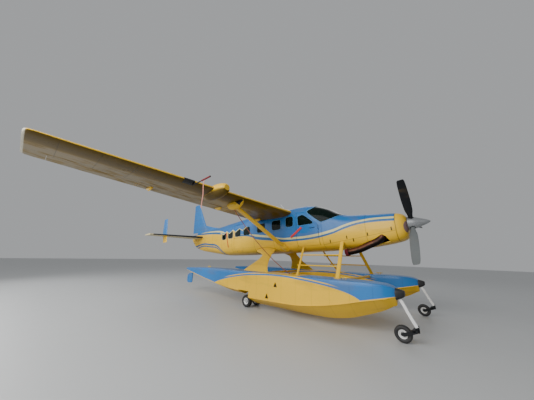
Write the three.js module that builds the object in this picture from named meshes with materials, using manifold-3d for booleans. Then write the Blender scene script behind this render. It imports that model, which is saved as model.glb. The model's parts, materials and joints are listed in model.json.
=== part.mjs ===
// A single-engine, high-wing, strut-braced utility aircraft on twin amphibious floats with wheels.
// Millimetres. +X forward, +Y to port, +Z up, floor at z = 0, origin below the middle of the length.
// The airframe is drawn in its own frame: s is the station aft of the spinner tip, z is measured from
// the thrust line, and the whole frame is then pitched nose up as it stands on its gear.
import * as THREE from "three";
import { mergeVertices } from "three/addons/utils/BufferGeometryUtils.js";
import Module from "manifold-3d";

const wasm = await Module();
wasm.setup();

// Driving dimensions of the whole aircraft
const THRUST_HEIGHT = 2820;
const PITCH = THREE.MathUtils.degToRad(3.04);
const SEAT = 0.5;
const RUN = 6;
const RING = 24;

// Fuselage walls. A cut from the side starts outside the skin and stops short of the centre line.
const OUTSIDE = 1200;
const SIDE_CUT = 300;
const WALL = 45;
const COWL_WALL = 14;
const FIREWALL = 2540;
const NOSE_SEAM = 810;
const TAIL_JOINT = 8700;
const TAIL_HOLLOW = 11700;
const TAIL_WALL = 20;

// Fuselage sections, columns: station, half width, top, bottom, height of the widest line,
// squareness above that line and squareness below it (2 is an ellipse).
const HULL = [
  [560, 250, 165, -310, -60, 2.2, 2.4],
  [590, 330, 232, -400, -60, 2.4, 2.6],
  [660, 405, 290, -465, -50, 2.5, 2.8],
  [760, 448, 322, -505, -40, 2.6, 2.9],
  [1200, 505, 372, -585, -30, 2.7, 3.0],
  [1700, 570, 425, -640, 0, 2.8, 3.0],
  [2200, 645, 485, -665, 20, 2.9, 3.1],
  [2540, 700, 545, -672, 40, 3.0, 3.2],
  [2900, 765, 705, -676, 70, 3.0, 3.4],
  [3300, 805, 885, -680, 100, 2.9, 3.6],
  [3700, 825, 1010, -680, 130, 3.2, 3.8],
  [4150, 830, 1060, -680, 150, 3.8, 3.8],
  [6350, 830, 1060, -680, 150, 3.8, 3.8],
  [7200, 800, 1030, -680, 160, 3.4, 3.6],
  [8500, 700, 960, -655, 180, 3.0, 3.4],
  [8700, 680, 945, -640, 180, 2.9, 3.2],
  [9600, 550, 905, -530, 220, 2.6, 2.8],
  [10600, 390, 860, -390, 270, 2.4, 2.5],
  [11200, 280, 830, -300, 300, 2.3, 2.4],
  [12100, 130, 770, -40, 380, 2.2, 2.2],
  [12620, 45, 740, 380, 520, 2.1, 2.1],
];

// Cabin windows on each side, columns: station of the middle, width, height, height of the middle.
const WINDOWS = [
  [4295, 350, 390, 445],
  [4945, 450, 390, 395],
  [5780, 450, 380, 375],
  [6670, 440, 375, 345],
  [7310, 420, 365, 335],
  [7900, 400, 345, 290],
  [8460, 350, 330, 265],
];
const WINDOW_CORNER = 70;
const TAIL_END = HULL.at(-1)[0];

// Doors in the side view, each corner as [station, height].
const CREW_DOOR = [[3110, -500], [3110, 190], [3690, 735], [3990, 735], [3990, -500]];
const CREW_WINDOW = [[3340, 190], [3320, 265], [3680, 650], [3800, 660], [3900, 600], [3885, 235]];
const PASSENGER_DOOR = { fore: 7010, aft: 7610, sill: -500, split: 85, head: 700 };
const CARGO_DOOR = { fore: 6340, aft: 7610, sill: -500, split: 85, head: 700 };
const WINDSHIELD = [[2300, 900], [2575, 570], [3010, 245], [3590, 780], [3745, 985], [3745, 1300]];
const WINDSHIELD_POST = 30;

// Wing, in the airframe: root and tip columns are span position, leading edge, chord, height, thickness.
const WING = [
  [834, 4235, 1950, 824, 0.17],
  [7925, 4676, 1200, 1194, 0.12],
];
const WING_INCIDENCE = THREE.MathUtils.degToRad(2);
const WING_ROOT_INSIDE = 520;
const FLAP = { inner: 960, outer: 5740, hinge: 0.7 };
const AILERON = { inner: 5800, outer: 7560, hinge: 0.76 };

// Tail
const TAILPLANE = [
  [0, 10930, 1500, 489, 0.1],
  [3125, 11454, 820, 489, 0.09],
];
const ELEVATOR = { inner: 182, outer: 3030, hinge: 11900 };
const FIN_ROWS = [
  [560, 10700, 1960, 0.075],
  [1290, 11250, 1420, 0.08],
  [2560, 12010, 640, 0.085],
  [2690, 12120, 545, 0.05],
];
const RUDDER_FOOT = [12085, 805];
const RUDDER_HEAD = [12335, 2760];
const FINLET = { span: 2300, fore: 11400, chord: 520, low: 95, high: 1390, sweep: 90 };

// Floats: the middle of each is this far from the centre line.
const FLOAT_Y = 1600;
const DECK = 1190;
// Float sections, columns: x behind the spinner tip, half beam, half deck, keel, chine, deck.
const FORE_BODY = [
  [560, 70, 60, 930, 960, 1080],
  [610, 150, 130, 850, 940, 1120],
  [750, 240, 215, 735, 915, 1150],
  [1000, 320, 300, 590, 865, 1175],
  [1400, 390, 375, 425, 775, 1190],
  [1900, 425, 410, 262, 645, 1190],
  [2500, 432, 420, 172, 520, 1190],
  [3300, 435, 425, 150, 420, 1190],
  [5150, 435, 425, 140, 370, 1190],
];
const AFTER_BODY = [
  [5150, 435, 425, 400, 445, 1190],
  [5700, 425, 415, 375, 535, 1190],
  [6300, 405, 395, 385, 560, 1190],
  [7800, 320, 310, 600, 715, 1175],
  [9500, 165, 155, 880, 925, 1105],
  [10070, 60, 50, 975, 995, 1075],
];
const WHEEL_WELL = { fore: 5148, aft: 5740, half: 600, top: 560 };

// Landing gear
const NOSE_WHEEL = { x: 680, radius: 175, half: 62, rim: 105 };
const CASTER_X = 400;
const MAIN_WHEEL = { x: 5390, radius: 200, half: 78, rim: 108, spacing: 240 };

// Propeller
const PROPELLER_RADIUS = 1346;
const PROPELLER_STATION = 455;
const BLADE_ANGLE = THREE.MathUtils.degToRad(30.4);
const SPINNER_BASE = 548;
const SPINNER_RADIUS = 205;
const SPINNER_SEAT = 372;

// Finishes
const finish = (color, roughness = 0.35, metalness = 0) =>
  new THREE.MeshStandardMaterial({ color, roughness, metalness });
const YELLOW = finish(0xd9a62e);
const BLUE = finish(0x2f6fae);
const GLASS = finish(0x20302e, 0.1);
const BLACK = finish(0x141414, 0.6);
const TYRE = finish(0x1d1d20, 0.85);
const METAL = finish(0xa9abad, 0.3, 0.9);
const COPPER = finish(0x70432f, 0.45, 0.8);
const WHITE = finish(0xe9e9e6, 0.4);
const GREY = finish(0x55585c, 0.7);
const SEAT_CLOTH = finish(0x8a7f6c, 0.9);

// Solids: a geometry with its shared vertices merged, and its faces turned outward.
function solid(geometry) {
  const bare = geometry.index ? geometry.toNonIndexed() : geometry.clone();
  bare.deleteAttribute("normal");
  bare.deleteAttribute("uv");
  const merged = mergeVertices(bare, 1e-3);
  const position = merged.attributes.position;
  const index = merged.index.array;
  const faces = [];
  let volume = 0;
  const [a, b, c] = [new THREE.Vector3(), new THREE.Vector3(), new THREE.Vector3()];
  for (let i = 0; i < index.length; i += 3) {
    const [p, q, r] = index.subarray(i, i + 3);
    if (p === q || q === r || r === p) continue;
    faces.push(p, q, r);
    a.fromBufferAttribute(position, p);
    b.fromBufferAttribute(position, q);
    c.fromBufferAttribute(position, r);
    volume += a.dot(b.cross(c));
  }
  if (volume < 0)
    for (let i = 0; i < faces.length; i += 3)
      [faces[i + 1], faces[i + 2]] = [faces[i + 2], faces[i + 1]];
  return new wasm.Manifold(
    new wasm.Mesh({
      numProp: 3,
      vertProperties: position.array,
      triVerts: new Uint32Array(faces),
    }),
  );
}

function geometryOf(manifold) {
  const mesh = manifold.getMesh();
  const geometry = new THREE.BufferGeometry();
  geometry.setAttribute("position", new THREE.BufferAttribute(new Float32Array(mesh.vertProperties), 3));
  geometry.setIndex(new THREE.BufferAttribute(new Uint32Array(mesh.triVerts), 1));
  geometry.computeVertexNormals();
  return geometry;
}

// The radius of a hole that clears a pin of a radius at every turn, with a given number of sides
const bored = (radius, sides) => (radius + 0.3) / Math.cos(Math.PI / sides);

const joined = (...solids) => solids.reduce((sum, next) => sum.add(next));
const cut = (body, ...tools) => tools.reduce((rest, tool) => rest.subtract(tool), body);

// The same solid on the other side of the centre line.
function mirrored(manifold) {
  return solid(geometryOf(manifold).applyMatrix4(new THREE.Matrix4().makeScale(1, -1, 1)));
}

function placed(manifold, matrix) {
  return solid(geometryOf(manifold).applyMatrix4(matrix));
}

const point = (station, y, z) => new THREE.Vector3(-station, y, z);

// A closed skin over rings of points; each ring has as many points as the next. The four-cornered
// patches are split alike on both sides of the centre line, so that a mirrored piece fits too.
function loft(rings) {
  const count = rings[0].length;
  const positions = [];
  const index = [];
  for (const ring of rings) for (const p of ring) positions.push(p.x, p.y, p.z);
  for (let i = 0; i + 1 < rings.length; i++)
    for (let j = 0; j < count; j++) {
      const a = i * count + j;
      const b = i * count + ((j + 1) % count);
      const port = rings[i][j].y + rings[i][(j + 1) % count].y > 0;
      if (port) index.push(a, b, b + count, a, b + count, a + count);
      else index.push(a, b, a + count, b, b + count, a + count);
    }
  for (const [start, ring, flip] of [
    [0, rings[0], true],
    [(rings.length - 1) * count, rings.at(-1), false],
  ]) {
    const middle = ring.reduce((sum, p) => sum.add(p), new THREE.Vector3()).divideScalar(count);
    const hub = positions.length / 3;
    positions.push(middle.x, middle.y, middle.z);
    for (let j = 0; j < count; j++) {
      const next = start + ((j + 1) % count);
      if (flip) index.push(hub, next, start + j);
      else index.push(hub, start + j, next);
    }
  }
  const geometry = new THREE.BufferGeometry();
  geometry.setAttribute("position", new THREE.Float32BufferAttribute(positions, 3));
  geometry.setIndex(index);
  return solid(geometry);
}

function box(fore, aft, left, right, low, high) {
  const geometry = new THREE.BoxGeometry(Math.abs(aft - fore), Math.abs(right - left), high - low);
  return solid(geometry.translate(-(fore + aft) / 2, (left + right) / 2, (low + high) / 2));
}

// A round bar, or a cone, from one point to another.
function bar(from, to, radius, sides = 10, endRadius = radius) {
  const geometry = new THREE.CylinderGeometry(endRadius, radius, from.distanceTo(to), sides);
  const turn = new THREE.Quaternion().setFromUnitVectors(
    new THREE.Vector3(0, 1, 0),
    to.clone().sub(from).normalize(),
  );
  const middle = from.clone().add(to).multiplyScalar(0.5);
  return solid(geometry.applyQuaternion(turn).translate(middle.x, middle.y, middle.z));
}

// The hole that a bar of the same few sides turns in: at rest its flats lie at the bar's edges.
function bore(from, to, radius, sides = 8) {
  const along = to.clone().sub(from).normalize();
  const turn = new THREE.Quaternion().setFromAxisAngle(along, Math.PI / sides);
  const hole = geometryOf(bar(from, to, bored(radius, sides), sides));
  const { x, y, z } = from;
  return solid(hole.translate(-x, -y, -z).applyQuaternion(turn).translate(x, y, z));
}

function tube(points, radius, steps, sides = 14) {
  const path = new THREE.CatmullRomCurve3(points);
  const section = new THREE.Shape().absarc(0, 0, radius, 0, 2 * Math.PI);
  return solid(
    new THREE.ExtrudeGeometry(section, {
      steps,
      curveSegments: sides,
      bevelEnabled: false,
      extrudePath: path,
    }),
  );
}

// A side-view outline, [station, height] pairs, pushed through the fuselage from y = near to y = far.
function sidePrism(outline, near, far) {
  const shape = Array.isArray(outline)
    ? new THREE.Shape(outline.map(([s, z]) => new THREE.Vector2(-s, z)))
    : outline;
  const geometry = new THREE.ExtrudeGeometry(shape, {
    depth: Math.abs(far - near),
    bevelEnabled: false,
    curveSegments: 2,
  });
  geometry.rotateX(Math.PI / 2);
  return solid(geometry.translate(0, Math.max(near, far), 0));
}

// An outline with every side moved inward by a distance.
function inset(outline, distance) {
  const n = outline.length;
  const area = outline.reduce((sum, [s, z], i) => {
    const [t, y] = outline[(i + 1) % n];
    return sum + s * y - t * z;
  }, 0);
  const side = Math.sign(area) * distance;
  return outline.map((corner, i) => {
    const before = outline[(i + n - 1) % n];
    const after = outline[(i + 1) % n];
    const u = new THREE.Vector2(corner[0] - before[0], corner[1] - before[1]).normalize();
    const v = new THREE.Vector2(after[0] - corner[0], after[1] - corner[1]).normalize();
    const m = new THREE.Vector2(-u.y - v.y, u.x + v.x);
    const scale = (2 * side) / m.lengthSq();
    return [corner[0] + m.x * scale, corner[1] + m.y * scale];
  });
}

function roundedWindow([station, width, height, middle], shrink = 0) {
  const [w, h, r] = [width / 2 - shrink, height / 2 - shrink, WINDOW_CORNER - shrink];
  const shape = new THREE.Shape();
  shape.absarc(-station + w - r, middle + h - r, r, 0, Math.PI / 2);
  shape.absarc(-station - w + r, middle + h - r, r, Math.PI / 2, Math.PI);
  shape.absarc(-station - w + r, middle - h + r, r, Math.PI, 1.5 * Math.PI);
  shape.absarc(-station + w - r, middle - h + r, r, 1.5 * Math.PI, 2 * Math.PI);
  return shape;
}

// Fuselage sections between the rows of the table
function hullRow(station) {
  const i = Math.min(HULL.findLastIndex((row) => row[0] <= station), HULL.length - 2);
  const [a, b] = [HULL[i], HULL[i + 1]];
  const t = (station - a[0]) / (b[0] - a[0]);
  return a.map((value, k) => value + (b[k] - value) * t);
}

function hullRing(station, inward) {
  const [, half, top, bottom, waist, above, below] = hullRow(station);
  return Array.from({ length: RING }, (_, i) => {
    const turn = (2 * Math.PI * (i + 0.5)) / RING;
    const [c, s] = [Math.cos(turn), Math.sin(turn)];
    const power = 2 / (s > 0 ? above : below);
    const reach = s > 0 ? top - waist - inward : waist - bottom - inward;
    return point(
      station,
      (half - inward) * Math.sign(c) * Math.abs(c) ** power,
      waist + reach * Math.sign(s) * Math.abs(s) ** power,
    );
  });
}

function hull(fore, aft, inward = 0) {
  const between = HULL.map((row) => row[0]).filter((s) => s > fore + 1 && s < aft - 1);
  return loft([fore, ...between, aft].map((s) => hullRing(s, inward)));
}

// Half width of the outer skin at a station and height
function skinY(station, z) {
  const ring = hullRing(station, 0);
  const i = ring.findIndex((p, k) => {
    const q = ring[(k + 1) % RING];
    return p.y > 0 && q.y > 0 && (p.z - z) * (q.z - z) <= 0;
  });
  const [p, q] = [ring[i], ring[(i + 1) % RING]];
  return p.y + ((q.y - p.y) * (z - p.z)) / (q.z - p.z);
}

// Aerofoil section: points round the chord, [share of chord aft, height as a share of chord].
const AEROFOIL_STATIONS = [1, 0.8, 0.58, 0.38, 0.2, 0.08, 0.02, 0];
function thicknessAt(x, thickness) {
  const shape = 0.2969 * Math.sqrt(x) - 0.126 * x - 0.3516 * x ** 2 + 0.2843 * x ** 3 - 0.1015 * x ** 4;
  return 5 * thickness * shape;
}
function camberAt(x, camber) {
  return camber * 4 * x * (1 - x);
}
function aerofoil(thickness, camber) {
  const upper = AEROFOIL_STATIONS.map((x) => [x, camberAt(x, camber) + thicknessAt(x, thickness)]);
  const lower = AEROFOIL_STATIONS.map((x) => [x, camberAt(x, camber) - thicknessAt(x, thickness)]);
  return [...upper, ...lower.reverse().slice(1)];
}

// A point of the starboard wing: share of chord aft and height above the chord, at a span position.
function wingPoint(span, share, lift = 0) {
  const [root, tip] = WING;
  const t = (span - root[0]) / (tip[0] - root[0]);
  const [, lead, chord, height] = root.map((value, k) => value + (tip[k] - value) * t);
  const aft = share * chord;
  return point(
    lead + aft * Math.cos(WING_INCIDENCE) + lift * Math.sin(WING_INCIDENCE),
    -span,
    height - aft * Math.sin(WING_INCIDENCE) + lift * Math.cos(WING_INCIDENCE),
  );
}

function wingRow(span) {
  const [root, tip] = WING;
  const t = (span - root[0]) / (tip[0] - root[0]);
  return root.map((value, k) => value + (tip[k] - value) * t);
}

const WING_CAMBER = 0.022;
function wingRing(span, scale = 1) {
  const [, , chord, , thickness] = wingRow(span);
  return aerofoil(thickness, WING_CAMBER).map(([x, h]) => {
    const share = 0.5 + (x - 0.5) * scale;
    return wingPoint(span, share, h * chord * scale);
  });
}

// A movable surface behind a hinge line: a round nose about the line and the skin behind it, with the
// tool that clears it out of the fixed surface, and the pins and lugs of the fixed surface that carry it.
// ends are the ends of the line, 0 and 1, that have a pin, and lugs the places along it that have a lug.
const PIN = 8;
const COVE = 13;
const NOSE_SHARE = 0.985;
function hinged(whole, from, to, radii, reach, { ends = [], lugs = [] }) {
  const along = to.clone().sub(from).normalize();
  const up = Math.abs(along.z) > 0.7 ? new THREE.Vector3(0, 1, 0) : new THREE.Vector3(0, 0, 1);
  const across = up.addScaledVector(along, -up.dot(along)).normalize();
  const aft = new THREE.Vector3().crossVectors(along, across).normalize();
  if (aft.x > 0) aft.negate();
  const corner = (p, x, z) => p.clone().addScaledVector(aft, x).addScaledVector(across, z);
  const prism = (a, b, ahead, behind, half) =>
    loft(
      [a, b].map((p) => [
        corner(p, ahead, -half),
        corner(p, behind, -half),
        corner(p, behind, half),
        corner(p, ahead, half),
      ]),
    );
  const widened = (p, distance) => p.clone().addScaledVector(along, distance);
  const nose = bar(from, to, radii[0], 12, radii[1]);
  let moving = whole.intersect(prism(from, to, 0, reach * 3, reach)).add(nose);
  const tool = prism(widened(from, -RUN), widened(to, RUN), 0, reach * 3, reach).add(
    bar(widened(from, -RUN), widened(to, RUN), radii[0] + COVE, 12, radii[1] + COVE),
  );
  const carriers = ends.map((end) => {
    const [p, out] = end ? [to, 1] : [from, -1];
    moving = moving.subtract(bore(widened(p, out), widened(p, -45 * out), PIN));
    return bar(widened(p, (RUN + 30) * out), widened(p, -40 * out), PIN, 8);
  });
  for (const share of lugs) {
    const middle = from.clone().lerp(to, share);
    const radius = radii[0] + (radii[1] - radii[0]) * share;
    const [a, b] = [widened(middle, -16), widened(middle, 16)];
    moving = cut(
      moving,
      bar(widened(a, -RUN), widened(b, RUN), radius + RUN + 6, 12),
      bore(widened(a, -26), widened(b, 26), PIN),
    );
    carriers.push(
      joined(
        bar(a, b, radius * 0.62, 8),
        bar(widened(a, -22), widened(b, 22), PIN, 8),
        prism(a, b, -radius - 26, 0, radius * 0.45),
      ),
    );
  }
  return { moving, tool, carriers: joined(...carriers), hinge: { at: from, along } };
}

const nodes = { airframe: [], floats: [] };
const add = (group, name, manifold, material, hinge) => nodes[group].push({ name, manifold, material, hinge });
const flipped = ({ x, y, z }) => new THREE.Vector3(x, -y, z);
const pair = (group, name, starboard, material, hinge) => {
  add(group, name + "_right", starboard, material, hinge);
  const other = hinge && { at: flipped(hinge.at), along: flipped(hinge.along) };
  add(group, name + "_left", mirrored(starboard), material, other);
};

// Nose bowl, with the shaft opening and an air inlet on each side of the spinner
const INLET = { y: 262, z: -125, wide: 120, high: 165 };
function noseBowl() {
  const inlet = (side) => {
    const shape = new THREE.Shape().absellipse(0, 0, INLET.wide, INLET.high, 0, 2 * Math.PI);
    const geometry = new THREE.ExtrudeGeometry(shape, { depth: 260, bevelEnabled: false, curveSegments: 10 });
    geometry.rotateX(Math.PI / 2).rotateZ(-Math.PI / 2);
    return solid(geometry.translate(-720, side * INLET.y, INLET.z));
  };
  const shell = hull(HULL[0][0], NOSE_SEAM - SEAT).subtract(hull(610, NOSE_SEAM + 50, COWL_WALL * 1.6));
  return cut(shell, inlet(-1), inlet(1), bar(point(400, 0, 0), point(700, 0, 0), 95, 16));
}

const EXHAUST_PATH = [
  [1330, -226.5, -60],
  [1190, -300, -230],
  [1150, -385, -400],
  [1290, -415, -545],
  [1600, -425, -660],
  [1950, -425, -735],
  [2350, -425, -800],
].map((p) => point(...p));
const EXHAUST_RADIUS = 78;
const EXHAUST_STEPS = 12;

function cowling() {
  const shell = hull(NOSE_SEAM, FIREWALL - SEAT).subtract(hull(NOSE_SEAM - 50, FIREWALL + 50, COWL_WALL));
  const window = tube(EXHAUST_PATH, EXHAUST_RADIUS + 14, EXHAUST_STEPS, 5);
  const notch = sidePrism([[1060, -640], [1060, -500], [1130, -340], [1250, -350], [1420, -660]], -560, -300);
  return cut(shell, window, notch);
}

function engine() {
  const block = box(1000, 2100, -225, 225, -230, 210);
  const shaft = bar(point(600, 0, 0), point(1010, 0, 0), 60, 16);
  const mounts = [-1, 1].flatMap((side) =>
    [-190, 170].map((z) =>
      bar(point(2090, side * 190, z), point(FIREWALL - 0.2, side * 330, z * 1.5), 20, 10),
    ),
  );
  const firewallFace = box(FIREWALL - SEAT, FIREWALL + 80, -900, 900, -900, 900);
  return cut(joined(block, shaft, ...mounts), firewallFace);
}

function exhaust() {
  const whole = tube(EXHAUST_PATH, EXHAUST_RADIUS, EXHAUST_STEPS, 5);
  const outlet = tube(
    [EXHAUST_PATH[5].clone(), EXHAUST_PATH[6].clone(), EXHAUST_PATH[6].clone().add(point(200, 0, -30))],
    EXHAUST_RADIUS - 8,
    3,
    5,
  );
  return cut(whole, outlet, box(1000, 2000, -225 - SEAT, 0, -300, 300), hull(FIREWALL - 2, TAIL_JOINT, -SEAT));
}

// The cabin shell, its doors and its glass. A door's aft edge, where the fuselage tapers, has the wider gap.
const DOOR_SEAM = 5.2;
const TAPER_SEAM = 6;
const doorOutline = ({ fore, aft, sill, head }) => [[fore, sill], [fore, head], [aft, head], [aft, sill]];
const leafOutline = (fore, aft, low, high) => [
  [fore, low],
  [fore, high],
  [aft - TAPER_SEAM, high],
  [aft - TAPER_SEAM, low],
];
const upperOutline = ({ fore, aft, split, head }) => leafOutline(fore, aft, split, head);
const lowerOutline = ({ fore, aft, sill, split }) => leafOutline(fore, aft, sill, split);
const BULKHEAD = 60;
const wall = hull(FIREWALL + SEAT, TAIL_JOINT - SEAT).subtract(
  hull(FIREWALL + BULKHEAD, TAIL_JOINT - BULKHEAD, WALL),
);
const insideWall = () => hull(FIREWALL + BULKHEAD + 1, TAIL_JOINT - BULKHEAD - 1, WALL + SEAT);
// An outline or shape in the side view, pushed through one side of the fuselage: -1 starboard, 1 port
const sideCut = (shape, side) => {
  const [near, far] = side < 0 ? [-OUTSIDE, -SIDE_CUT] : [SIDE_CUT, OUTSIDE];
  return sidePrism(shape, near, far);
};
const KNUCKLE = { radius: 13, pin: 6, half: 20 };

// A hinge on the skin, on a line between two places of it. Each place has a knuckle and a pin on the
// fixed side and a knuckle with a bore on the moving side.
const onSkin = (station, z, side) => point(station, side * skinY(station, z), z);
function skinHinge(p, q) {
  const along = q.clone().sub(p).normalize();
  const { radius, pin, half } = KNUCKLE;
  const knuckles = [p, q].map((at) => {
    const on = (distance) => at.clone().addScaledVector(along, distance);
    return {
      fixed: joined(bar(on(-half * 2), on(-3), radius, 6), bar(on(-half), on(half * 1.5), pin, 6)),
      moving: bar(on(3), on(half * 2), radius, 6),
      hole: bore(on(-2), on(half * 2 + 5), pin, 6),
      fixedRelief: bar(on(0), on(half * 2 + 6), radius + RUN, 6),
      movingRelief: bar(on(-half * 2 - 6), on(0), radius + RUN, 6),
    };
  });
  return { at: p, along, knuckles };
}

const HINGE_INSET = 2;
const crewHinge = skinHinge(
  onSkin(CREW_DOOR[0][0] + HINGE_INSET, -90, -1),
  onSkin(CREW_DOOR[0][0] + HINGE_INSET, 125, -1),
);
const edgeHinge = ({ fore, aft }, z, side) =>
  skinHinge(onSkin(fore * 0.8 + aft * 0.2, z, side), onSkin(fore * 0.2 + aft * 0.8, z, side));
const passengerTop = edgeHinge(PASSENGER_DOOR, PASSENGER_DOOR.head, -1);
const passengerSill = edgeHinge(PASSENGER_DOOR, PASSENGER_DOOR.sill, -1);
const cargoTop = edgeHinge(CARGO_DOOR, CARGO_DOOR.head, 1);
const cargoFront = skinHinge(
  onSkin(CARGO_DOOR.fore + HINGE_INSET, -115, 1),
  onSkin(CARGO_DOOR.fore + HINGE_INSET, 15, 1),
);

function door(outline, side, hinge, windows) {
  let panel = wall.intersect(sideCut(inset(outline, DOOR_SEAM), side));
  for (const shape of windows) panel = panel.subtract(sideCut(shape, side));
  for (const knuckle of hinge.knuckles) {
    panel = cut(panel, knuckle.movingRelief).add(knuckle.moving).subtract(knuckle.hole);
  }
  return panel;
}

const FRONT_GLASS = { fore: 2000, aft: 4200, top: 2000 };
function windshieldTool(shrink) {
  const whole = sidePrism(shrink ? inset(WINDSHIELD, shrink) : WINDSHIELD, -OUTSIDE, OUTSIDE);
  const half = WINDSHIELD_POST + shrink;
  return whole.subtract(box(FRONT_GLASS.fore, FRONT_GLASS.aft, -half, half, -OUTSIDE, FRONT_GLASS.top));
}

function cabinShell() {
  const windows = [
    ...[0, 1, 2, 3, 5, 6].map((i) => sideCut(roundedWindow(WINDOWS[i]), -1)),
    ...[0, 1, 2, 5, 6].map((i) => sideCut(roundedWindow(WINDOWS[i]), 1)),
  ];
  let shell = cut(
    wall,
    windshieldTool(0),
    sideCut(CREW_DOOR, -1),
    sideCut(CREW_DOOR, 1),
    sideCut(doorOutline(PASSENGER_DOOR), -1),
    sideCut(doorOutline(CARGO_DOOR), 1),
    ...windows,
  );
  for (const { knuckles } of [crewHinge, passengerTop, passengerSill, cargoTop, cargoFront])
    for (const { fixed, fixedRelief } of knuckles) {
      shell = cut(shell, fixedRelief).add(fixed);
      if (knuckles === crewHinge.knuckles) shell = cut(shell, mirrored(fixedRelief)).add(mirrored(fixed));
    }
  return shell;
}

const PANE = 8;
const PANE_INSET = 3;
const paneSkin = hull(FIREWALL + 20, TAIL_JOINT - 20, PANE_INSET).subtract(
  hull(FIREWALL + 10, TAIL_JOINT - 10, PANE_INSET + PANE),
);

// A strip of clear plastic behind the cabin wall, with a pane standing out of it in each window.
const BELT = { margin: 45, thick: 5 };
function glazing(rows, side) {
  const first = rows[0];
  const last = rows.at(-1);
  const belt = [
    [first[0] - first[1] / 2 - BELT.margin, first[3] - first[2] / 2 - BELT.margin],
    [first[0] - first[1] / 2 - BELT.margin, first[3] + first[2] / 2 + BELT.margin],
    [last[0] + last[1] / 2 + BELT.margin, last[3] + last[2] / 2 + BELT.margin],
    [last[0] + last[1] / 2 + BELT.margin, last[3] - last[2] / 2 - BELT.margin],
  ];
  const hollow = hull(FIREWALL + 10, TAIL_JOINT - 10, WALL + SEAT + BELT.thick);
  const strip = cut(insideWall(), hollow).intersect(sideCut(belt, side));
  const block = hull(FIREWALL + 20, TAIL_JOINT - 20, PANE_INSET).subtract(
    hull(FIREWALL + 10, TAIL_JOINT - 10, WALL + SEAT + BELT.thick - 1),
  );
  const panes = rows.map((row) => block.intersect(sideCut(roundedWindow(row, SEAT), side)));
  return joined(strip, ...panes);
}

const doorGlass = (shape, side) => paneSkin.intersect(sideCut(shape, side));

// Two panes, joined behind the centre post by a strip of clear plastic and two ties.
function windshield() {
  const { fore, aft, top } = FRONT_GLASS;
  const layer = (outer, inner) => hull(FIREWALL + 5, aft, outer).subtract(hull(FIREWALL, aft + 100, inner));
  const panes = layer(PANE_INSET, PANE_INSET + PANE).intersect(windshieldTool(SEAT));
  const middle = sidePrism(inset(WINDSHIELD, 60), -OUTSIDE, OUTSIDE);
  const strip = hull(FIREWALL + BULKHEAD + 1, aft, WALL + SEAT)
    .subtract(hull(FIREWALL + 55, aft + 100, WALL + SEAT + BELT.thick))
    .intersect(middle)
    .intersect(box(fore, aft, -WINDSHIELD_POST - 60, WINDSHIELD_POST + 60, 0, top));
  const ties = [-1, 1].map((side) =>
    layer(PANE_INSET + 1, WALL + SEAT + 2)
      .intersect(middle)
      .intersect(box(fore, aft, side * (WINDSHIELD_POST + 1), side * (WINDSHIELD_POST + 25), 0, top)),
  );
  return joined(panes, strip, ...ties);
}

// Inside the cabin
const FLOOR = { top: -530, thick: 25, fore: 2620, aft: 8620 };
function cabinFloor() {
  const { top, thick, fore, aft } = FLOOR;
  return insideWall().intersect(box(fore, aft, -OUTSIDE, OUTSIDE, top - thick, top));
}

const PANEL_OUTLINE = [[2900, -120], [2830, 215], [2990, 215], [3030, 130], [2990, -120]];
function instrumentPanel() {
  const face = insideWall().intersect(sidePrism(PANEL_OUTLINE, -OUTSIDE, OUTSIDE));
  const pedestal = box(2905, 3080, -110, 110, FLOOR.top + SEAT, 0);
  return face.add(pedestal);
}

// A row of seats on a rail. One seat is a cushion, a leaning back and a pedestal; its station is the
// front of the cushion, and its place across the cabin is its middle.
const CUSHION = { length: 460, low: -260, high: -150 };
const BACK = { foot: 400, lean: 90, thick: 70, low: -230, high: 480 };
const PEDESTAL = { fore: 90, aft: 380, inset: 115 };
const RAIL_HEIGHT = 20;
function seat(station, y, width) {
  const [left, right] = [y - width / 2, y + width / 2];
  const cushion = box(station, station + CUSHION.length, left, right, CUSHION.low, CUSHION.high);
  const { foot, lean, thick, low, high } = BACK;
  const outline = [[0, low + 30], [lean, high], [lean + thick, high], [100, low]];
  const back = sidePrism(outline.map(([s, z]) => [station + foot + s, z]), left, right);
  const { fore, aft, inset: side } = PEDESTAL;
  const legs = box(station + fore, station + aft, left + side, right - side, FLOOR.top + 15, CUSHION.low + 10);
  return joined(cushion, back, legs);
}

const rail = (fore, aft, left, right) =>
  box(fore, aft, left, right, FLOOR.top + SEAT, FLOOR.top + RAIL_HEIGHT);

const CREW_SEATS = { station: 3380, offset: 390, width: 460 };
function crewSeats() {
  const { station, offset, width } = CREW_SEATS;
  return joined(seat(station, -offset, width), seat(station, offset, width), rail(3500, 3700, -560, 560));
}

const PASSENGER_SEATS = { stations: [4480, 5270, 6060], width: 400, right: [-470], left: [125, 525] };
function passengerSeats(places, railLeft, railRight) {
  const { stations, width } = PASSENGER_SEATS;
  const seats = stations.flatMap((station) => places.map((y) => seat(station, y, width)));
  return joined(...seats, rail(4560, 6450, railLeft, railRight));
}

// Wings
function wing() {
  const tip = WING[1][0];
  const whole = loft([
    wingRing(WING_ROOT_INSIDE),
    wingRing(FLAP.outer),
    wingRing(tip - 120),
    wingRing(tip + 15, 0.86),
  ]);
  const surface = ({ inner, outer, hinge }) => {
    const radius = (span) => {
      const [, , chord, , thickness] = wingRow(span);
      return thicknessAt(hinge, thickness) * chord * NOSE_SHARE;
    };
    const lift = (span) => camberAt(hinge, WING_CAMBER) * wingRow(span)[2];
    const [from, to] = [inner, outer].map((span) => wingPoint(span, hinge, lift(span)));
    return hinged(whole, from, to, [radius(inner), radius(outer)], 700, { ends: [0, 1] });
  };
  const flap = surface(FLAP);
  const aileron = surface(AILERON);
  const fixed = cut(whole, flap.tool, aileron.tool).add(flap.carriers).add(aileron.carriers);
  const rootCut = hull(FIREWALL, TAIL_JOINT, -SEAT);
  return { fixed: fixed.subtract(rootCut), flap, aileron };
}

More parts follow.
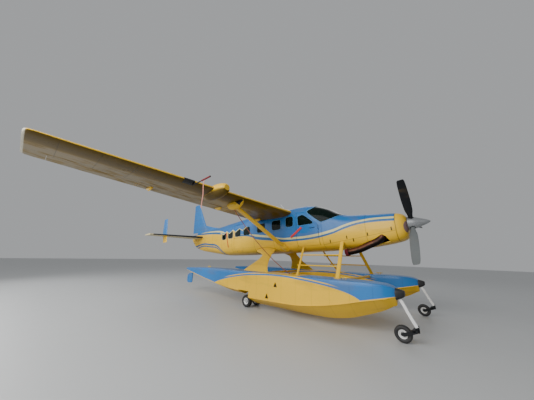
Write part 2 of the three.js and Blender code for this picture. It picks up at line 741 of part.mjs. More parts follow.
// The lift strut, from the lower fuselage to the wing, with a fairing at each end
const STRUT = { foot: [4590, -735, -520], head: [4930, -3080, 830], chord: 250, thick: 80 };
function liftStrut(wingSolid) {
  const foot = point(...STRUT.foot);
  const head = point(...STRUT.head);
  const along = head.clone().sub(foot).normalize();
  const aft = new THREE.Vector3(-1, 0, 0).addScaledVector(along, along.x).normalize();
  const across = new THREE.Vector3().crossVectors(along, aft);
  const ring = (p, scale, fat = 1) =>
    aerofoil(STRUT.thick / STRUT.chord, 0).map(([x, h]) =>
      p
        .clone()
        .addScaledVector(aft, (x - 0.4) * STRUT.chord * scale)
        .addScaledVector(across, h * STRUT.chord * scale * fat),
    );
  const on = (distance) => foot.clone().addScaledVector(along, distance);
  const length = foot.distanceTo(head);
  const blade = loft([
    ring(on(-120), 1.35, 1.5),
    ring(on(60), 1.35, 1.5),
    ring(on(190), 1, 1),
    ring(on(length - 260), 1, 1),
    ring(on(length - 60), 1.7, 1.6),
    ring(on(length + 90), 1.9, 1.8),
  ]);
  const lowered = placed(wingSolid, new THREE.Matrix4().makeTranslation(0, 0, -SEAT));
  return cut(blade, hull(FIREWALL, TAIL_JOINT, -SEAT), wingSolid, lowered);
}

// Radar pod on the leading edge; its profile's columns are radius and distance behind its nose.
const RADAR = { span: 4010, ahead: 300, drop: 20 };
const RADAR_PROFILE = [
  [0, 0],
  [95, 126],
  [170, 260],
  [205, 357],
  [212, 420],
  [150, 750],
  [0, 840],
];
function radarPod() {
  const points = RADAR_PROFILE.map(([radius, aft]) => new THREE.Vector2(radius, aft));
  const nose = wingPoint(RADAR.span, 0).add(new THREE.Vector3(RADAR.ahead, 0, -RADAR.drop));
  const geometry = new THREE.LatheGeometry(points, 14).rotateZ(Math.PI / 2);
  return solid(geometry.translate(nose.x, nose.y, nose.z));
}

// Tail: a hollow cone, closed behind the last frame
function tailCone() {
  return hull(TAIL_JOINT, TAIL_END).subtract(hull(TAIL_JOINT - 50, TAIL_HOLLOW, TAIL_WALL));
}

function stabiliserRing(span, side, grow) {
  const [root, tip] = TAILPLANE;
  const t = span / tip[0];
  const [, lead, chord, height, thickness] = root.map((value, k) => value + (tip[k] - value) * t);
  return aerofoil(thickness, 0).map(([x, h]) =>
    point(lead + x * chord + Math.sign(x - 0.5) * grow, side * span, height + h * chord + Math.sign(h) * grow),
  );
}

function tailplane(tailSolid) {
  const [root, tip] = TAILPLANE;
  const whole = loft([
    stabiliserRing(tip[0], -1, 0),
    stabiliserRing(root[0], -1, 0),
    stabiliserRing(tip[0], 1, 0),
  ]);
  const rowAt = (span) => root.map((value, k) => value + ((tip[k] - value) * span) / tip[0]);
  const radius = (span) => {
    const [, lead, chord, , thickness] = rowAt(span);
    return thicknessAt((ELEVATOR.hinge - lead) / chord, thickness) * chord * NOSE_SHARE;
  };
  const halves = [-1, 1].map((side) =>
    hinged(
      whole,
      point(ELEVATOR.hinge, side * ELEVATOR.inner, root[3]),
      point(ELEVATOR.hinge, side * ELEVATOR.outer, root[3]),
      [radius(ELEVATOR.inner), radius(ELEVATOR.outer)],
      400,
      { ends: [1] },
    ),
  );
  const middleClear = box(ELEVATOR.hinge - 60, 13200, -ELEVATOR.inner - RUN, ELEVATOR.inner + RUN, 0, 1000);
  const finlets = [-1, 1].map((side) => {
    const { span, fore, chord, low, high, sweep } = FINLET;
    const ring = (z, lean, scale) =>
      aerofoil(0.06, 0).map(([x, h]) =>
        point(fore + lean + (x + (1 - scale) * 0.25) * chord * scale, side * span + h * chord, z),
      );
    return loft([ring(low, -60, 0.82), ring(root[3], 0, 1), ring(high, sweep, 0.72)]);
  });
  const fixed = joined(
    cut(whole, halves[0].tool, halves[1].tool, middleClear),
    halves[0].carriers,
    halves[1].carriers,
  );
  const finletCut = [-1, 1].map((side) =>
    box(ELEVATOR.hinge - 80, 12600, side * (FINLET.span - 80), side * (FINLET.span + 80), -200, 1700),
  );
  const torqueTube = bar(
    point(ELEVATOR.hinge, -ELEVATOR.inner - 20, root[3]),
    point(ELEVATOR.hinge, ELEVATOR.inner + 20, root[3]),
    22,
    12,
  );
  const elevators = joined(halves[0].moving, halves[1].moving, torqueTube);
  const slot = loft([-330, 0, 330].map((y) => stabiliserRing(Math.abs(y), Math.sign(y), SEAT))).subtract(
    box(ELEVATOR.hinge - 60 + SEAT, 13200, -400, 400, 0, 1000),
  );
  const tubeWay = bar(point(ELEVATOR.hinge, -400, root[3]), point(ELEVATOR.hinge, 400, root[3]), 22 + RUN, 12);
  return {
    fixed: joined(fixed, ...finlets.map((f) => cut(f, ...finletCut))),
    elevators,
    hinge: { at: point(ELEVATOR.hinge, 0, root[3]), along: new THREE.Vector3(0, 1, 0) },
    cone: cut(tailSolid, slot, tubeWay),
  };
}

// Fin and rudder, with the long low fillet along the roof line in front of the fin
const FILLET = [
  { station: 9650, half: 12, low: 860, topHalf: 4, high: 905 },
  { station: 11300, half: 45, low: 780, topHalf: 14, high: 1262 },
];
const FIN_ROOT = 760;
function fin(coneEnvelope) {
  const whole = loft(
    FIN_ROWS.map(([z, lead, chord, thickness]) =>
      aerofoil(thickness, 0).map(([x, h]) => point(lead + x * chord, h * chord, z)),
    ),
  );
  const rowAt = (z) => {
    const i = Math.min(FIN_ROWS.findLastIndex((row) => row[0] <= z), FIN_ROWS.length - 2);
    const [a, b] = [FIN_ROWS[i], FIN_ROWS[i + 1]];
    return a.map((value, k) => value + ((b[k] - value) * (z - a[0])) / (b[0] - a[0]));
  };
  const radius = (station, z) => {
    const [, lead, chord, thickness] = rowAt(z);
    return thicknessAt((station - lead) / chord, thickness) * chord;
  };
  const [foot, head] = [RUDDER_FOOT, RUDDER_HEAD].map(([s, z]) => point(s, 0, z));
  const radii = [radius(...RUDDER_FOOT) * NOSE_SHARE, radius(RUDDER_HEAD[0], RUDDER_HEAD[1] - 160) * 0.9];
  const parts = hinged(whole, foot, head, radii, 400, { lugs: [0.35] });
  const fillet = loft(
    FILLET.map(({ station, half, low, topHalf, high }) => [
      point(station, -half, low),
      point(station, half, low),
      point(station, topHalf, high),
      point(station, -topHalf, high),
    ]),
  );
  const below = box(9000, 13000, -OUTSIDE, OUTSIDE, -OUTSIDE, FIN_ROOT);
  const fixed = joined(cut(whole, parts.tool), parts.carriers, cut(fillet, parts.tool));
  return {
    fixed: cut(fixed, coneEnvelope, below),
    rudder: cut(parts.moving, box(12000, 13000, -500, 500, 0, FIN_ROOT + 40)),
    hinge: parts.hinge,
  };
}

// Propeller, feathered as it stands, and its spinner
// Blade sections, columns: radius, chord, thickness, pitch in degrees from the plane of rotation.
const BLADE_ROWS = [
  [60, 105, 84, 90],
  [230, 125, 64, 88],
  [420, 205, 36, 86],
  [800, 232, 24, 80],
  [1150, 222, 15, 75],
  [PROPELLER_RADIUS - 25, 185, 9, 72],
  [PROPELLER_RADIUS, 140, 6, 72],
];
const BLADE_SIDES = 8;
const BLADE_TURNS = [0, 1, 2].map((k) => BLADE_ANGLE + (2 * Math.PI * k) / 3);
function blade() {
  return loft(
    BLADE_ROWS.map(([radius, chord, thick, pitch]) => {
      const turn = THREE.MathUtils.degToRad(pitch);
      const [c, s] = [Math.cos(turn), Math.sin(turn)];
      return Array.from({ length: BLADE_SIDES }, (_, i) => {
        const a = (2 * Math.PI * i) / BLADE_SIDES;
        const u = (chord / 2) * Math.cos(a);
        const v = (thick / 2) * Math.sin(a);
        return new THREE.Vector3(u * s - v * c, u * c + v * s, radius);
      });
    }),
  );
}

function propeller() {
  const centre = point(PROPELLER_STATION, 0, 0);
  const blades = BLADE_TURNS.map((turn) =>
    placed(blade(), new THREE.Matrix4().makeRotationX(turn).setPosition(centre)),
  );
  const hub = bar(point(SPINNER_SEAT + SEAT, 0, 0), point(600 - SEAT, 0, 0), 88, 12);
  return joined(hub, ...blades);
}

const SPINNER_SIDES = 16;
const CUFF_RADIUS = 74;
function spinner() {
  const turned = (rows) => {
    const points = rows.map(([r, s]) => new THREE.Vector2(r, s));
    return solid(new THREE.LatheGeometry(points, SPINNER_SIDES).rotateZ(Math.PI / 2));
  };
  const cone = turned([
    [0, 0],
    [45, 62],
    [112, 230],
    [168, 390],
    [SPINNER_RADIUS, SPINNER_BASE],
    [0, SPINNER_BASE],
  ]);
  const hollow = turned([
    [0, SPINNER_SEAT],
    [90, SPINNER_SEAT],
    [150, 380],
    [SPINNER_RADIUS - 8, SPINNER_BASE],
    [0, SPINNER_BASE],
  ]);
  const centre = point(PROPELLER_STATION, 0, 0);
  const cuffs = BLADE_TURNS.map((turn) => {
    const out = new THREE.Vector3(0, -Math.sin(turn), Math.cos(turn));
    const [root, end] = [95, 300].map((radius) => centre.clone().addScaledVector(out, radius));
    return bar(root, end, CUFF_RADIUS, 8);
  });
  return cut(cone, hollow, ...cuffs);
}

// Assembly of the airframe
const coneSolid = tailCone();
const tail = tailplane(coneSolid);
const finParts = fin(hull(TAIL_JOINT, TAIL_END, -SEAT));
const wings = wing();
const wingFixed = wings.fixed.add(radarPod());

add("airframe", "nose_bowl", noseBowl(), YELLOW);
add("airframe", "cowling", cowling(), YELLOW);
add("airframe", "engine_block", engine(), GREY);
add("airframe", "exhaust_stack", exhaust(), COPPER);
add("airframe", "cabin_shell", cabinShell(), BLUE);
add("airframe", "cabin_floor", cabinFloor(), GREY);
add("airframe", "instrument_panel", instrumentPanel(), BLACK);
add("airframe", "crew_seats", crewSeats(), SEAT_CLOTH);
add("airframe", "passenger_seats_right", passengerSeats(PASSENGER_SEATS.right, -550, -390), SEAT_CLOTH);
add("airframe", "passenger_seats_left", passengerSeats(PASSENGER_SEATS.left, 180, 480), SEAT_CLOTH);
add("airframe", "windshield", windshield(), GLASS);
add("airframe", "glazing_fore_right", glazing(WINDOWS.slice(0, 4), -1), GLASS);
add("airframe", "glazing_fore_left", glazing(WINDOWS.slice(0, 3), 1), GLASS);
add("airframe", "glazing_aft_right", glazing(WINDOWS.slice(5), -1), GLASS);
add("airframe", "glazing_aft_left", glazing(WINDOWS.slice(5), 1), GLASS);
add("airframe", "tail_cone", tail.cone, BLUE);
add("airframe", "tailplane", tail.fixed, BLUE);
add("airframe", "elevators", tail.elevators, BLUE, tail.hinge);
add("airframe", "fin", finParts.fixed, BLUE);
add("airframe", "rudder", finParts.rudder, BLUE, finParts.hinge);
add("airframe", "wing_right", wingFixed, YELLOW);
add("airframe", "wing_left", mirrored(wings.fixed), YELLOW);
pair("airframe", "flap", wings.flap.moving, YELLOW, wings.flap.hinge);
pair("airframe", "aileron", wings.aileron.moving, YELLOW, wings.aileron.hinge);
pair("airframe", "lift_strut", liftStrut(wings.fixed), YELLOW);
const crewShape = new THREE.Shape(CREW_WINDOW.map(([s, z]) => new THREE.Vector2(-s, z)));
pair("airframe", "crew_door", door(CREW_DOOR, -1, crewHinge, [crewShape]), BLUE, crewHinge);
const crewPane = new THREE.Shape(inset(CREW_WINDOW, SEAT).map(([s, z]) => new THREE.Vector2(-s, z)));
pair("airframe", "crew_door_glass", doorGlass(crewPane, -1), GLASS);
const passengerWindow = [roundedWindow(WINDOWS[4])];
const doorLeaf = (name, outline, side, hinge, windows, material) =>
  add("airframe", name, door(outline, side, hinge, windows), material, hinge);
doorLeaf("passenger_door_upper", upperOutline(PASSENGER_DOOR), -1, passengerTop, passengerWindow, BLUE);
add("airframe", "passenger_door_glass", doorGlass(roundedWindow(WINDOWS[4], SEAT), -1), GLASS);
doorLeaf("passenger_door_lower", lowerOutline(PASSENGER_DOOR), -1, passengerSill, [], YELLOW);
const cargoWindows = [roundedWindow(WINDOWS[3]), roundedWindow(WINDOWS[4])];
doorLeaf("cargo_door_upper", upperOutline(CARGO_DOOR), 1, cargoTop, cargoWindows, BLUE);
add("airframe", "cargo_door_glass", glazing(WINDOWS.slice(3, 5), 1), GLASS);
doorLeaf("cargo_door_lower", lowerOutline(CARGO_DOOR), 1, cargoFront, [], YELLOW);
const propellerAxis = { at: point(PROPELLER_STATION, 0, 0), along: new THREE.Vector3(1, 0, 0) };
add("airframe", "propeller", propeller(), METAL, propellerAxis);
add("airframe", "spinner", spinner(), METAL);

// Assembly under the airframe, in the standing frame
const pitched = new THREE.Matrix4()
  .makeTranslation(0, 0, THRUST_HEIGHT)
  .multiply(new THREE.Matrix4().makeRotationY(-PITCH));
const standingHull = placed(hull(HULL[0][0], TAIL_END, -SEAT), pitched);

// One float section: deck edge, side, chine and keel
function floatRing([x, beam, deckHalf, keel, chine, deck], grow = 0) {
  const y = -FLOAT_Y;
  const corner = 22;
  return [
    [0, keel - grow],
    [beam * 0.55, keel + (chine - keel) * 0.5 - grow],
    [beam + grow, chine - grow],
    [beam + grow, chine + 12],
    [(beam + deckHalf) / 2 + grow, (chine + deck) / 2],
    [deckHalf + grow, deck - corner],
    [deckHalf - corner + grow, deck + grow],
    [-deckHalf + corner - grow, deck + grow],
    [-deckHalf - grow, deck - corner],
    [-(beam + deckHalf) / 2 - grow, (chine + deck) / 2],
    [-beam - grow, chine + 12],
    [-beam - grow, chine - grow],
    [-beam * 0.55, keel + (chine - keel) * 0.5 - grow],
  ].map(([across, z]) => point(x, y + across, z));
}

function floatBody(grow = 0) {
  const fore = loft(FORE_BODY.map((row) => floatRing(row, grow)));
  const aft = loft(AFTER_BODY.map((row) => floatRing(row, grow)));
  const { fore: a, aft: b, half, top } = WHEEL_WELL;
  return fore.add(aft).subtract(box(a, b, -FLOAT_Y - half, -FLOAT_Y + half, 0, top));
}

// Water rudder, on a post below the stern; its outline's x is behind the spinner tip
const WATER_RUDDER = { post: 9560, pin: 12, postLow: 560, high: 860, low: 380, half: 14 };
const RUDDER_OUTLINE = [
  [9530, 590],
  [9550, 850],
  [9890, 800],
  [10000, 700],
  [10000, 470],
  [9920, 380],
  [9620, 390],
  [9535, 440],
];
function floatNode() {
  const { post, pin, postLow, high } = WATER_RUDDER;
  return floatBody().add(bar(point(post, -FLOAT_Y, postLow), point(post, -FLOAT_Y, high + 90), pin, 8));
}

function waterRudder() {
  const { post, pin, postLow, high, half } = WATER_RUDDER;
  const plate = sidePrism(RUDDER_OUTLINE, -FLOAT_Y - half, -FLOAT_Y + half);
  const head = bar(point(post, -FLOAT_Y, postLow + 40), point(post, -FLOAT_Y, high), 26, 10);
  const hole = bore(point(post, -FLOAT_Y, postLow - 10), point(post, -FLOAT_Y, high + 80), pin);
  return cut(joined(plate, head), hole);
}

// A streamlined strut: its rows give the middle's x, y and z, the chord along x and the thickness.
function faired(rows) {
  return loft(
    rows.map(([x, y, z, chord, thick]) =>
      Array.from({ length: 10 }, (_, i) => {
        const a = (2 * Math.PI * i) / 10;
        return point(x + (chord / 2) * Math.cos(a), y + (thick / 2) * Math.sin(a), z);
      }),
    ),
  );
}

const FRONT_STRUT = { foot: [2170, -1500], head: [2365, -560, 2290], chord: 120, thick: 70 };
const SECOND_STRUT = { foot: [3500, -1500], head: [3800, -600, 2150], chord: 75, thick: 60 };
const RUNGS = [1500, 1830];
function strutFrame() {
  const leg = ({ foot, head, chord, thick }) =>
    faired([
      [foot[0] - 4, foot[1] - 5, DECK + SEAT, chord * 1.8, thick * 2.2],
      [foot[0], foot[1], DECK + 14, chord * 1.8, thick * 2.2],
      [foot[0], foot[1], DECK + 15, chord, thick],
      [head[0], head[1], head[2], chord, thick],
    ]);
  const along = ({ foot, head }, z) => {
    const t = (z - DECK) / (head[2] - DECK);
    return [foot[0] + (head[0] - foot[0]) * t, foot[1] + (head[1] - foot[1]) * t];
  };
  const rungs = RUNGS.map((z) => {
    const [x0, y0] = along(FRONT_STRUT, z);
    const [x1, y1] = along(SECOND_STRUT, z);
    return bar(point(x0, y0, z), point(x1 + 90, y1, z - 25), 19, 10);
  });
  return cut(joined(leg(FRONT_STRUT), leg(SECOND_STRUT), ...rungs), standingHull);
}

function rearStrut() {
  // Columns: middle x, y, height, chord, thickness.
  const rows = [
    [5320, -1560, DECK + SEAT, 1240, 130],
    [5320, -1540, DECK + 30, 1180, 100],
    [5310, -960, 1740, 480, 78],
    [5580, -735, 1945, 1000, 150],
    [5640, -560, 2080, 1060, 240],
  ];
  return cut(faired(rows), standingHull);
}

// A round beam across from float to float
const SPREADER = { x: [2170, 5320], z: 1120, radius: 40 };
function spreader(x) {
  const { z, radius } = SPREADER;
  const beam = bar(point(x, -FLOAT_Y, z), point(x, FLOAT_Y, z), radius, 14);
  const floatSolid = floatBody(SEAT);
  return cut(beam, floatSolid, mirrored(floatSolid));
}

// Nose gear: a flat sprung leg out of the bow, a castering fork and a wheel
const CASTER = { pin: 12, lugLow: 338, lugHigh: 392, lug: 32, headLow: 250, headHigh: 332, head: 36 };
const onFloat = (x, across, z) => point(x, -FLOAT_Y + across, z);
// Leg middle line, columns: x behind the spinner tip, height
const LEG_ROWS = [
  [CASTER_X + 2, 352],
  [CASTER_X + 110, 560],
  [655, 860],
  [760, 1000],
];
const LEG = { half: 36, thick: 16, rise: 10 };
function noseLeg() {
  const { half, thick, rise } = LEG;
  const leg = loft(
    LEG_ROWS.map(([x, z]) => [
      onFloat(x - thick, -half, z + rise),
      onFloat(x - thick, half, z + rise),
      onFloat(x + thick, half, z - rise),
      onFloat(x + thick, -half, z - rise),
    ]),
  );
  const { pin, lugLow, lugHigh, lug, headLow } = CASTER;
  const boss = bar(onFloat(CASTER_X, 0, lugLow), onFloat(CASTER_X, 0, lugHigh), lug, 10);
  const casterPin = bar(onFloat(CASTER_X, 0, headLow + 10), onFloat(CASTER_X, 0, lugLow + 5), pin, 8);
  const below = box(300, 700, -FLOAT_Y - 400, -FLOAT_Y + 400, 0, lugLow);
  return joined(cut(leg, floatBody(SEAT), below), boss, casterPin);
}

const NOSE_AXLE = 11;
const ARM = { inside: NOSE_WHEEL.half + 10, outside: NOSE_WHEEL.half + 28, low: 256, high: 318 };
function noseFork() {
  const { x, radius } = NOSE_WHEEL;
  const { headLow, headHigh, pin } = CASTER;
  const head = bar(onFloat(CASTER_X, 0, headLow), onFloat(CASTER_X, 0, headHigh), CASTER.head, 10);
  const { inside, outside, low, high } = ARM;
  const bridge = box(CASTER_X, x - radius - 18, -FLOAT_Y - outside, -FLOAT_Y + outside, low + 6, high);
  const outline = [
    [CASTER_X - 10, high],
    [x - 20, radius + 42],
    [x + 34, radius + 24],
    [x + 34, radius - 24],
    [x - 26, radius - 34],
    [CASTER_X - 10, low],
  ];
  const arms = [-1, 1].map((side) => sidePrism(outline, -FLOAT_Y + side * inside, -FLOAT_Y + side * outside));
  const axle = bar(onFloat(x, -outside, radius), onFloat(x, outside, radius), NOSE_AXLE, 8);
  const hole = bore(onFloat(CASTER_X, 0, headLow - 50), onFloat(CASTER_X, 0, headHigh + 70), pin);
  return cut(joined(head, bridge, ...arms, axle), hole);
}

// A wheel on an axle along y: tyre, rim and bore in one closed profile
const WHEEL_SIDES = 18;
function wheel(x, y, { radius, half, rim }, hub) {
  const profile = [
    [hub, -half * 0.8],
    [rim, -half * 0.72],
    [radius * 0.76, -half],
    [radius, -half * 0.45],
    [radius, half * 0.45],
    [radius * 0.76, half],
    [rim, half * 0.72],
    [hub, half * 0.8],
    [hub, -half * 0.8],
  ].map(([r, w]) => new THREE.Vector2(r, w));
  return solid(new THREE.LatheGeometry(profile, WHEEL_SIDES).translate(-x, y, radius));
}

// Main gear: a trailing arm from behind the step, carrying twin wheels on one axle
const AXLE = { radius: 24, end: 60 };
const TRAILING_ARM = { half: 70, bearingHalf: 90, bearing: 52 };
function mainLeg() {
  const { x, radius } = MAIN_WHEEL;
  const { half, bearingHalf, bearing } = TRAILING_ARM;
  const root = WHEEL_WELL.top - SEAT;
  const outline = [
    [x - 120, root],
    [x + 60, root],
    [x + 48, radius - 10],
    [x - 10, radius - 46],
    [x - 48, radius],
  ];
  const arm = sidePrism(outline, -FLOAT_Y - half, -FLOAT_Y + half);
  const sleeve = bar(onFloat(x, -bearingHalf, radius), onFloat(x, bearingHalf, radius), bearing, 16);
  const hole = bore(onFloat(x, -bearingHalf * 2, radius), onFloat(x, bearingHalf * 2, radius), AXLE.radius);
  return cut(joined(arm, sleeve), hole);
}

function mainWheels() {
  const { x, radius, spacing } = MAIN_WHEEL;
  const wheels = [-1, 1].map((side) => wheel(x, -FLOAT_Y + side * spacing, MAIN_WHEEL, AXLE.radius - 4));
  const reach = spacing + AXLE.end;
  const axle = bar(onFloat(x, -reach, radius), onFloat(x, reach, radius), AXLE.radius, 8);
  return joined(...wheels, axle);
}

pair("floats", "float", floatNode(), YELLOW);
pair("floats", "strut_frame", strutFrame(), YELLOW);
pair("floats", "rear_strut", rearStrut(), YELLOW);
add("floats", "spreader_fore", spreader(SPREADER.x[0]), YELLOW);
add("floats", "spreader_aft", spreader(SPREADER.x[1]), YELLOW);
pair("floats", "nose_leg", noseLeg(), WHITE);
const axis = (x, z, ...along) => ({ at: onFloat(x, 0, z), along: new THREE.Vector3(...along) });
const noseSpin = axis(NOSE_WHEEL.x, NOSE_WHEEL.radius, 0, 1, 0);
const noseWheel = wheel(NOSE_WHEEL.x, -FLOAT_Y, NOSE_WHEEL, bored(NOSE_AXLE, WHEEL_SIDES));
pair("floats", "nose_fork", noseFork(), GREY, axis(CASTER_X, CASTER.headLow, 0, 0, 1));
pair("floats", "nose_wheel", noseWheel, TYRE, noseSpin);
pair("floats", "main_leg", mainLeg(), GREY);
pair("floats", "main_wheels", mainWheels(), TYRE, axis(MAIN_WHEEL.x, MAIN_WHEEL.radius, 0, 1, 0));
pair("floats", "water_rudder", waterRudder(), BLUE, axis(WATER_RUDDER.post, WATER_RUDDER.low, 0, 0, 1));

const aircraft = new THREE.Group();
aircraft.name = "floatplane";
const airframe = new THREE.Group();
airframe.position.z = THRUST_HEIGHT;
airframe.rotation.y = -PITCH;
const floats = new THREE.Group();
for (const [group, list] of [[airframe, nodes.airframe], [floats, nodes.floats]])
  for (const { name, manifold, material, hinge } of list) {
    const mesh = new THREE.Mesh(geometryOf(manifold), material);
    mesh.name = name;
    if (hinge) mesh.userData.hinge = { at: hinge.at, along: hinge.along };
    group.add(mesh);
  }
aircraft.add(airframe, floats);
const ends = new THREE.Box3().setFromObject(aircraft, true);
aircraft.position.x = -(ends.min.x + ends.max.x) / 2;

export default aircraft;
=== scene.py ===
"""Looks of an amphibious high-wing floatplane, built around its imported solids.

Metres, +X forward, +Y to port, +Z up. The airframe has a frame of its own: s aft of the spinner tip,
y to port and z above the thrust line, pitched nose up as the aircraft stands. Things under it are
placed by their distance d behind the spinner tip, y, and z above the floor.
"""

import json
import logging
import math
from dataclasses import dataclass
from enum import Enum
from typing import Iterable, Mapping, Sequence, Union

import bmesh
import bpy
import numpy as np
from mathutils import Matrix, Vector
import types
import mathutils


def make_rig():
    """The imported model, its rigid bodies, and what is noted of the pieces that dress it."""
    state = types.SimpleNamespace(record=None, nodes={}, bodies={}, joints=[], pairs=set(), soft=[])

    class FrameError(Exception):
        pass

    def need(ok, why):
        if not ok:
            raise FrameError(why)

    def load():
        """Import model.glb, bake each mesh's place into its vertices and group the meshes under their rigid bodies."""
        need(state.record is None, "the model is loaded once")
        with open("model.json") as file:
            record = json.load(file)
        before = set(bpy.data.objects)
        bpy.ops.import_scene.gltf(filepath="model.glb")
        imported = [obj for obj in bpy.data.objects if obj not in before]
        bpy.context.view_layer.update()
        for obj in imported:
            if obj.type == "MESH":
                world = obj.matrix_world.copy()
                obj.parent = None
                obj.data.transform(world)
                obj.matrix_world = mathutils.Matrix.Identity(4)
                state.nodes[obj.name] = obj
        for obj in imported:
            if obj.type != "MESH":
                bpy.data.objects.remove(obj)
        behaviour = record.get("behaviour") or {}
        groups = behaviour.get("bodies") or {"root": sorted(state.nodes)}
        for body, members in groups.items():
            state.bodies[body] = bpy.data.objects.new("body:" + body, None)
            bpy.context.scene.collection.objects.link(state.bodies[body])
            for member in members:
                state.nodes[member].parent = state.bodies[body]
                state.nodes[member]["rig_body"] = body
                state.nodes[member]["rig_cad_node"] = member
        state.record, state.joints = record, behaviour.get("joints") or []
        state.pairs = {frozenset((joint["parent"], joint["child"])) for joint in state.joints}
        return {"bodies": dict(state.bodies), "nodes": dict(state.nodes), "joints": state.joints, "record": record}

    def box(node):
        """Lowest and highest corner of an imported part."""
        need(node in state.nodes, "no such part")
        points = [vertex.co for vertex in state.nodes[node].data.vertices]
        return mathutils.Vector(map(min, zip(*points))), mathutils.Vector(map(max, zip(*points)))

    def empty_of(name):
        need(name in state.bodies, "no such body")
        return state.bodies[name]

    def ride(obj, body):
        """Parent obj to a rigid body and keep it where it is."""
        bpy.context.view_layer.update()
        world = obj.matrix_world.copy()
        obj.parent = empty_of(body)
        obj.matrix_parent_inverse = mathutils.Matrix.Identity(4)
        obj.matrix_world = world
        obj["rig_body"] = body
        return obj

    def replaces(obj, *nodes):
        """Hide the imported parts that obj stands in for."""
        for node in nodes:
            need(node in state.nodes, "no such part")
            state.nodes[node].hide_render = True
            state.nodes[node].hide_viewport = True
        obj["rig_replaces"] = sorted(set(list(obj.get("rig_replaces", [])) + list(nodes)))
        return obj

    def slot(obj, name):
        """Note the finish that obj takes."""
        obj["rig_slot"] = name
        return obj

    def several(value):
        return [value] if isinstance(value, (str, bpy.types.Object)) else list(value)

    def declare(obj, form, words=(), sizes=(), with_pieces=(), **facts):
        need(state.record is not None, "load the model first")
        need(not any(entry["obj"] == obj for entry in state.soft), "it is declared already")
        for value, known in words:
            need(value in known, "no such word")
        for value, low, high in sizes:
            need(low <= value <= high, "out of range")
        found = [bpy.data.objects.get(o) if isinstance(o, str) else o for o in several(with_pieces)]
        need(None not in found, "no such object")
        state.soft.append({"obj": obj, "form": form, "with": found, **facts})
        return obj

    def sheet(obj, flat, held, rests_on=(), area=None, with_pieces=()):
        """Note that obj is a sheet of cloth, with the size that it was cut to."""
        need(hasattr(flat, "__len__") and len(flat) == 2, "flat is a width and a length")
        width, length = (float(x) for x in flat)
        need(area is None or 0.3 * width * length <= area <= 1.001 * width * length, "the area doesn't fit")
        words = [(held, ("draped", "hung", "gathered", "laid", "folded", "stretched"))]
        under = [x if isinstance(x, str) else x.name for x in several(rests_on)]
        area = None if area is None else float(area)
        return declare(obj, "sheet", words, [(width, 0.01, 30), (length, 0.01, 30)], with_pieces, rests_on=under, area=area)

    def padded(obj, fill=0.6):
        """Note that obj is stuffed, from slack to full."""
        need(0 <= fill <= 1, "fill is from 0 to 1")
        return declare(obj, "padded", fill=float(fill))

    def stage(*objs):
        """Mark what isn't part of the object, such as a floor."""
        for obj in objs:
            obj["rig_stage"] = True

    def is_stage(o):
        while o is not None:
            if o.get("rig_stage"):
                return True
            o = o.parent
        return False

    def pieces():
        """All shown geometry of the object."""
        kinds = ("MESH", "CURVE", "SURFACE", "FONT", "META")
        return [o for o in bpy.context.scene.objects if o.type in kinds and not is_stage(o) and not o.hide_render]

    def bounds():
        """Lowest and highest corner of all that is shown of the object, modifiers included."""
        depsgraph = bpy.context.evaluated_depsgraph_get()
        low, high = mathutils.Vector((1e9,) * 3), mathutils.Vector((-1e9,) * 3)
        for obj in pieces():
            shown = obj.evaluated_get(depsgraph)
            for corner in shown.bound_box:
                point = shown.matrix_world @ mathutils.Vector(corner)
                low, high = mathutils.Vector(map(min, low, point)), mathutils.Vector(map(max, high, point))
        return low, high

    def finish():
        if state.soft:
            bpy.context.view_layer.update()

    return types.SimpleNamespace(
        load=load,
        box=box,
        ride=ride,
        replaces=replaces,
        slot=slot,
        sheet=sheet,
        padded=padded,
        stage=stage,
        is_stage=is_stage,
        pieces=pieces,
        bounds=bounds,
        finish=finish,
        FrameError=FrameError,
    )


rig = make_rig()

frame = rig.load()
cad_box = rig.bounds()

log = logging.getLogger("floatplane")

NOSE_X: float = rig.box("spinner")[1].x
THRUST_HEIGHT = 2.82
PITCH = math.radians(3.04)
FLOAT_Y = 1.6
DECK = 1.19
SEAT = 0.0005
RIVET_ROW = 0.018

Rgb = tuple[float, float, float]
Array = np.ndarray
Outline = Sequence[tuple[float, float]]
Piece = bpy.types.Object
Material = bpy.types.Material


class Side(Enum):
    """The two sides of the aircraft, by the sign of y."""

    RIGHT = -1
    LEFT = 1

    @property
    def word(self) -> str:
        """The side as it is written in the names of nodes and bodies."""
        return self.name.lower()


def air(points: Sequence) -> Array:
    """Turns airframe points into row points.

    Args:
        points: (..., 3) values of s, y and z.

    Returns:
        The same points in the row frame.
    """
    s, y, z = np.moveaxis(np.asarray(points, float), -1, 0)
    c, n = math.cos(PITCH), math.sin(PITCH)
    return np.stack([NOSE_X - s * c - z * n, y, THRUST_HEIGHT - s * n + z * c], -1)


def air_vector(vector: Sequence[float]) -> Array:
    """Turns an airframe direction into a row one."""
    return air(vector) - air([0, 0, 0])


def stand(points: Sequence) -> Array:
    """Turns points of distance behind the spinner tip, y and height into row points."""
    d, y, z = np.moveaxis(np.asarray(points, float), -1, 0)
    return np.stack([NOSE_X - d, y, z], -1)


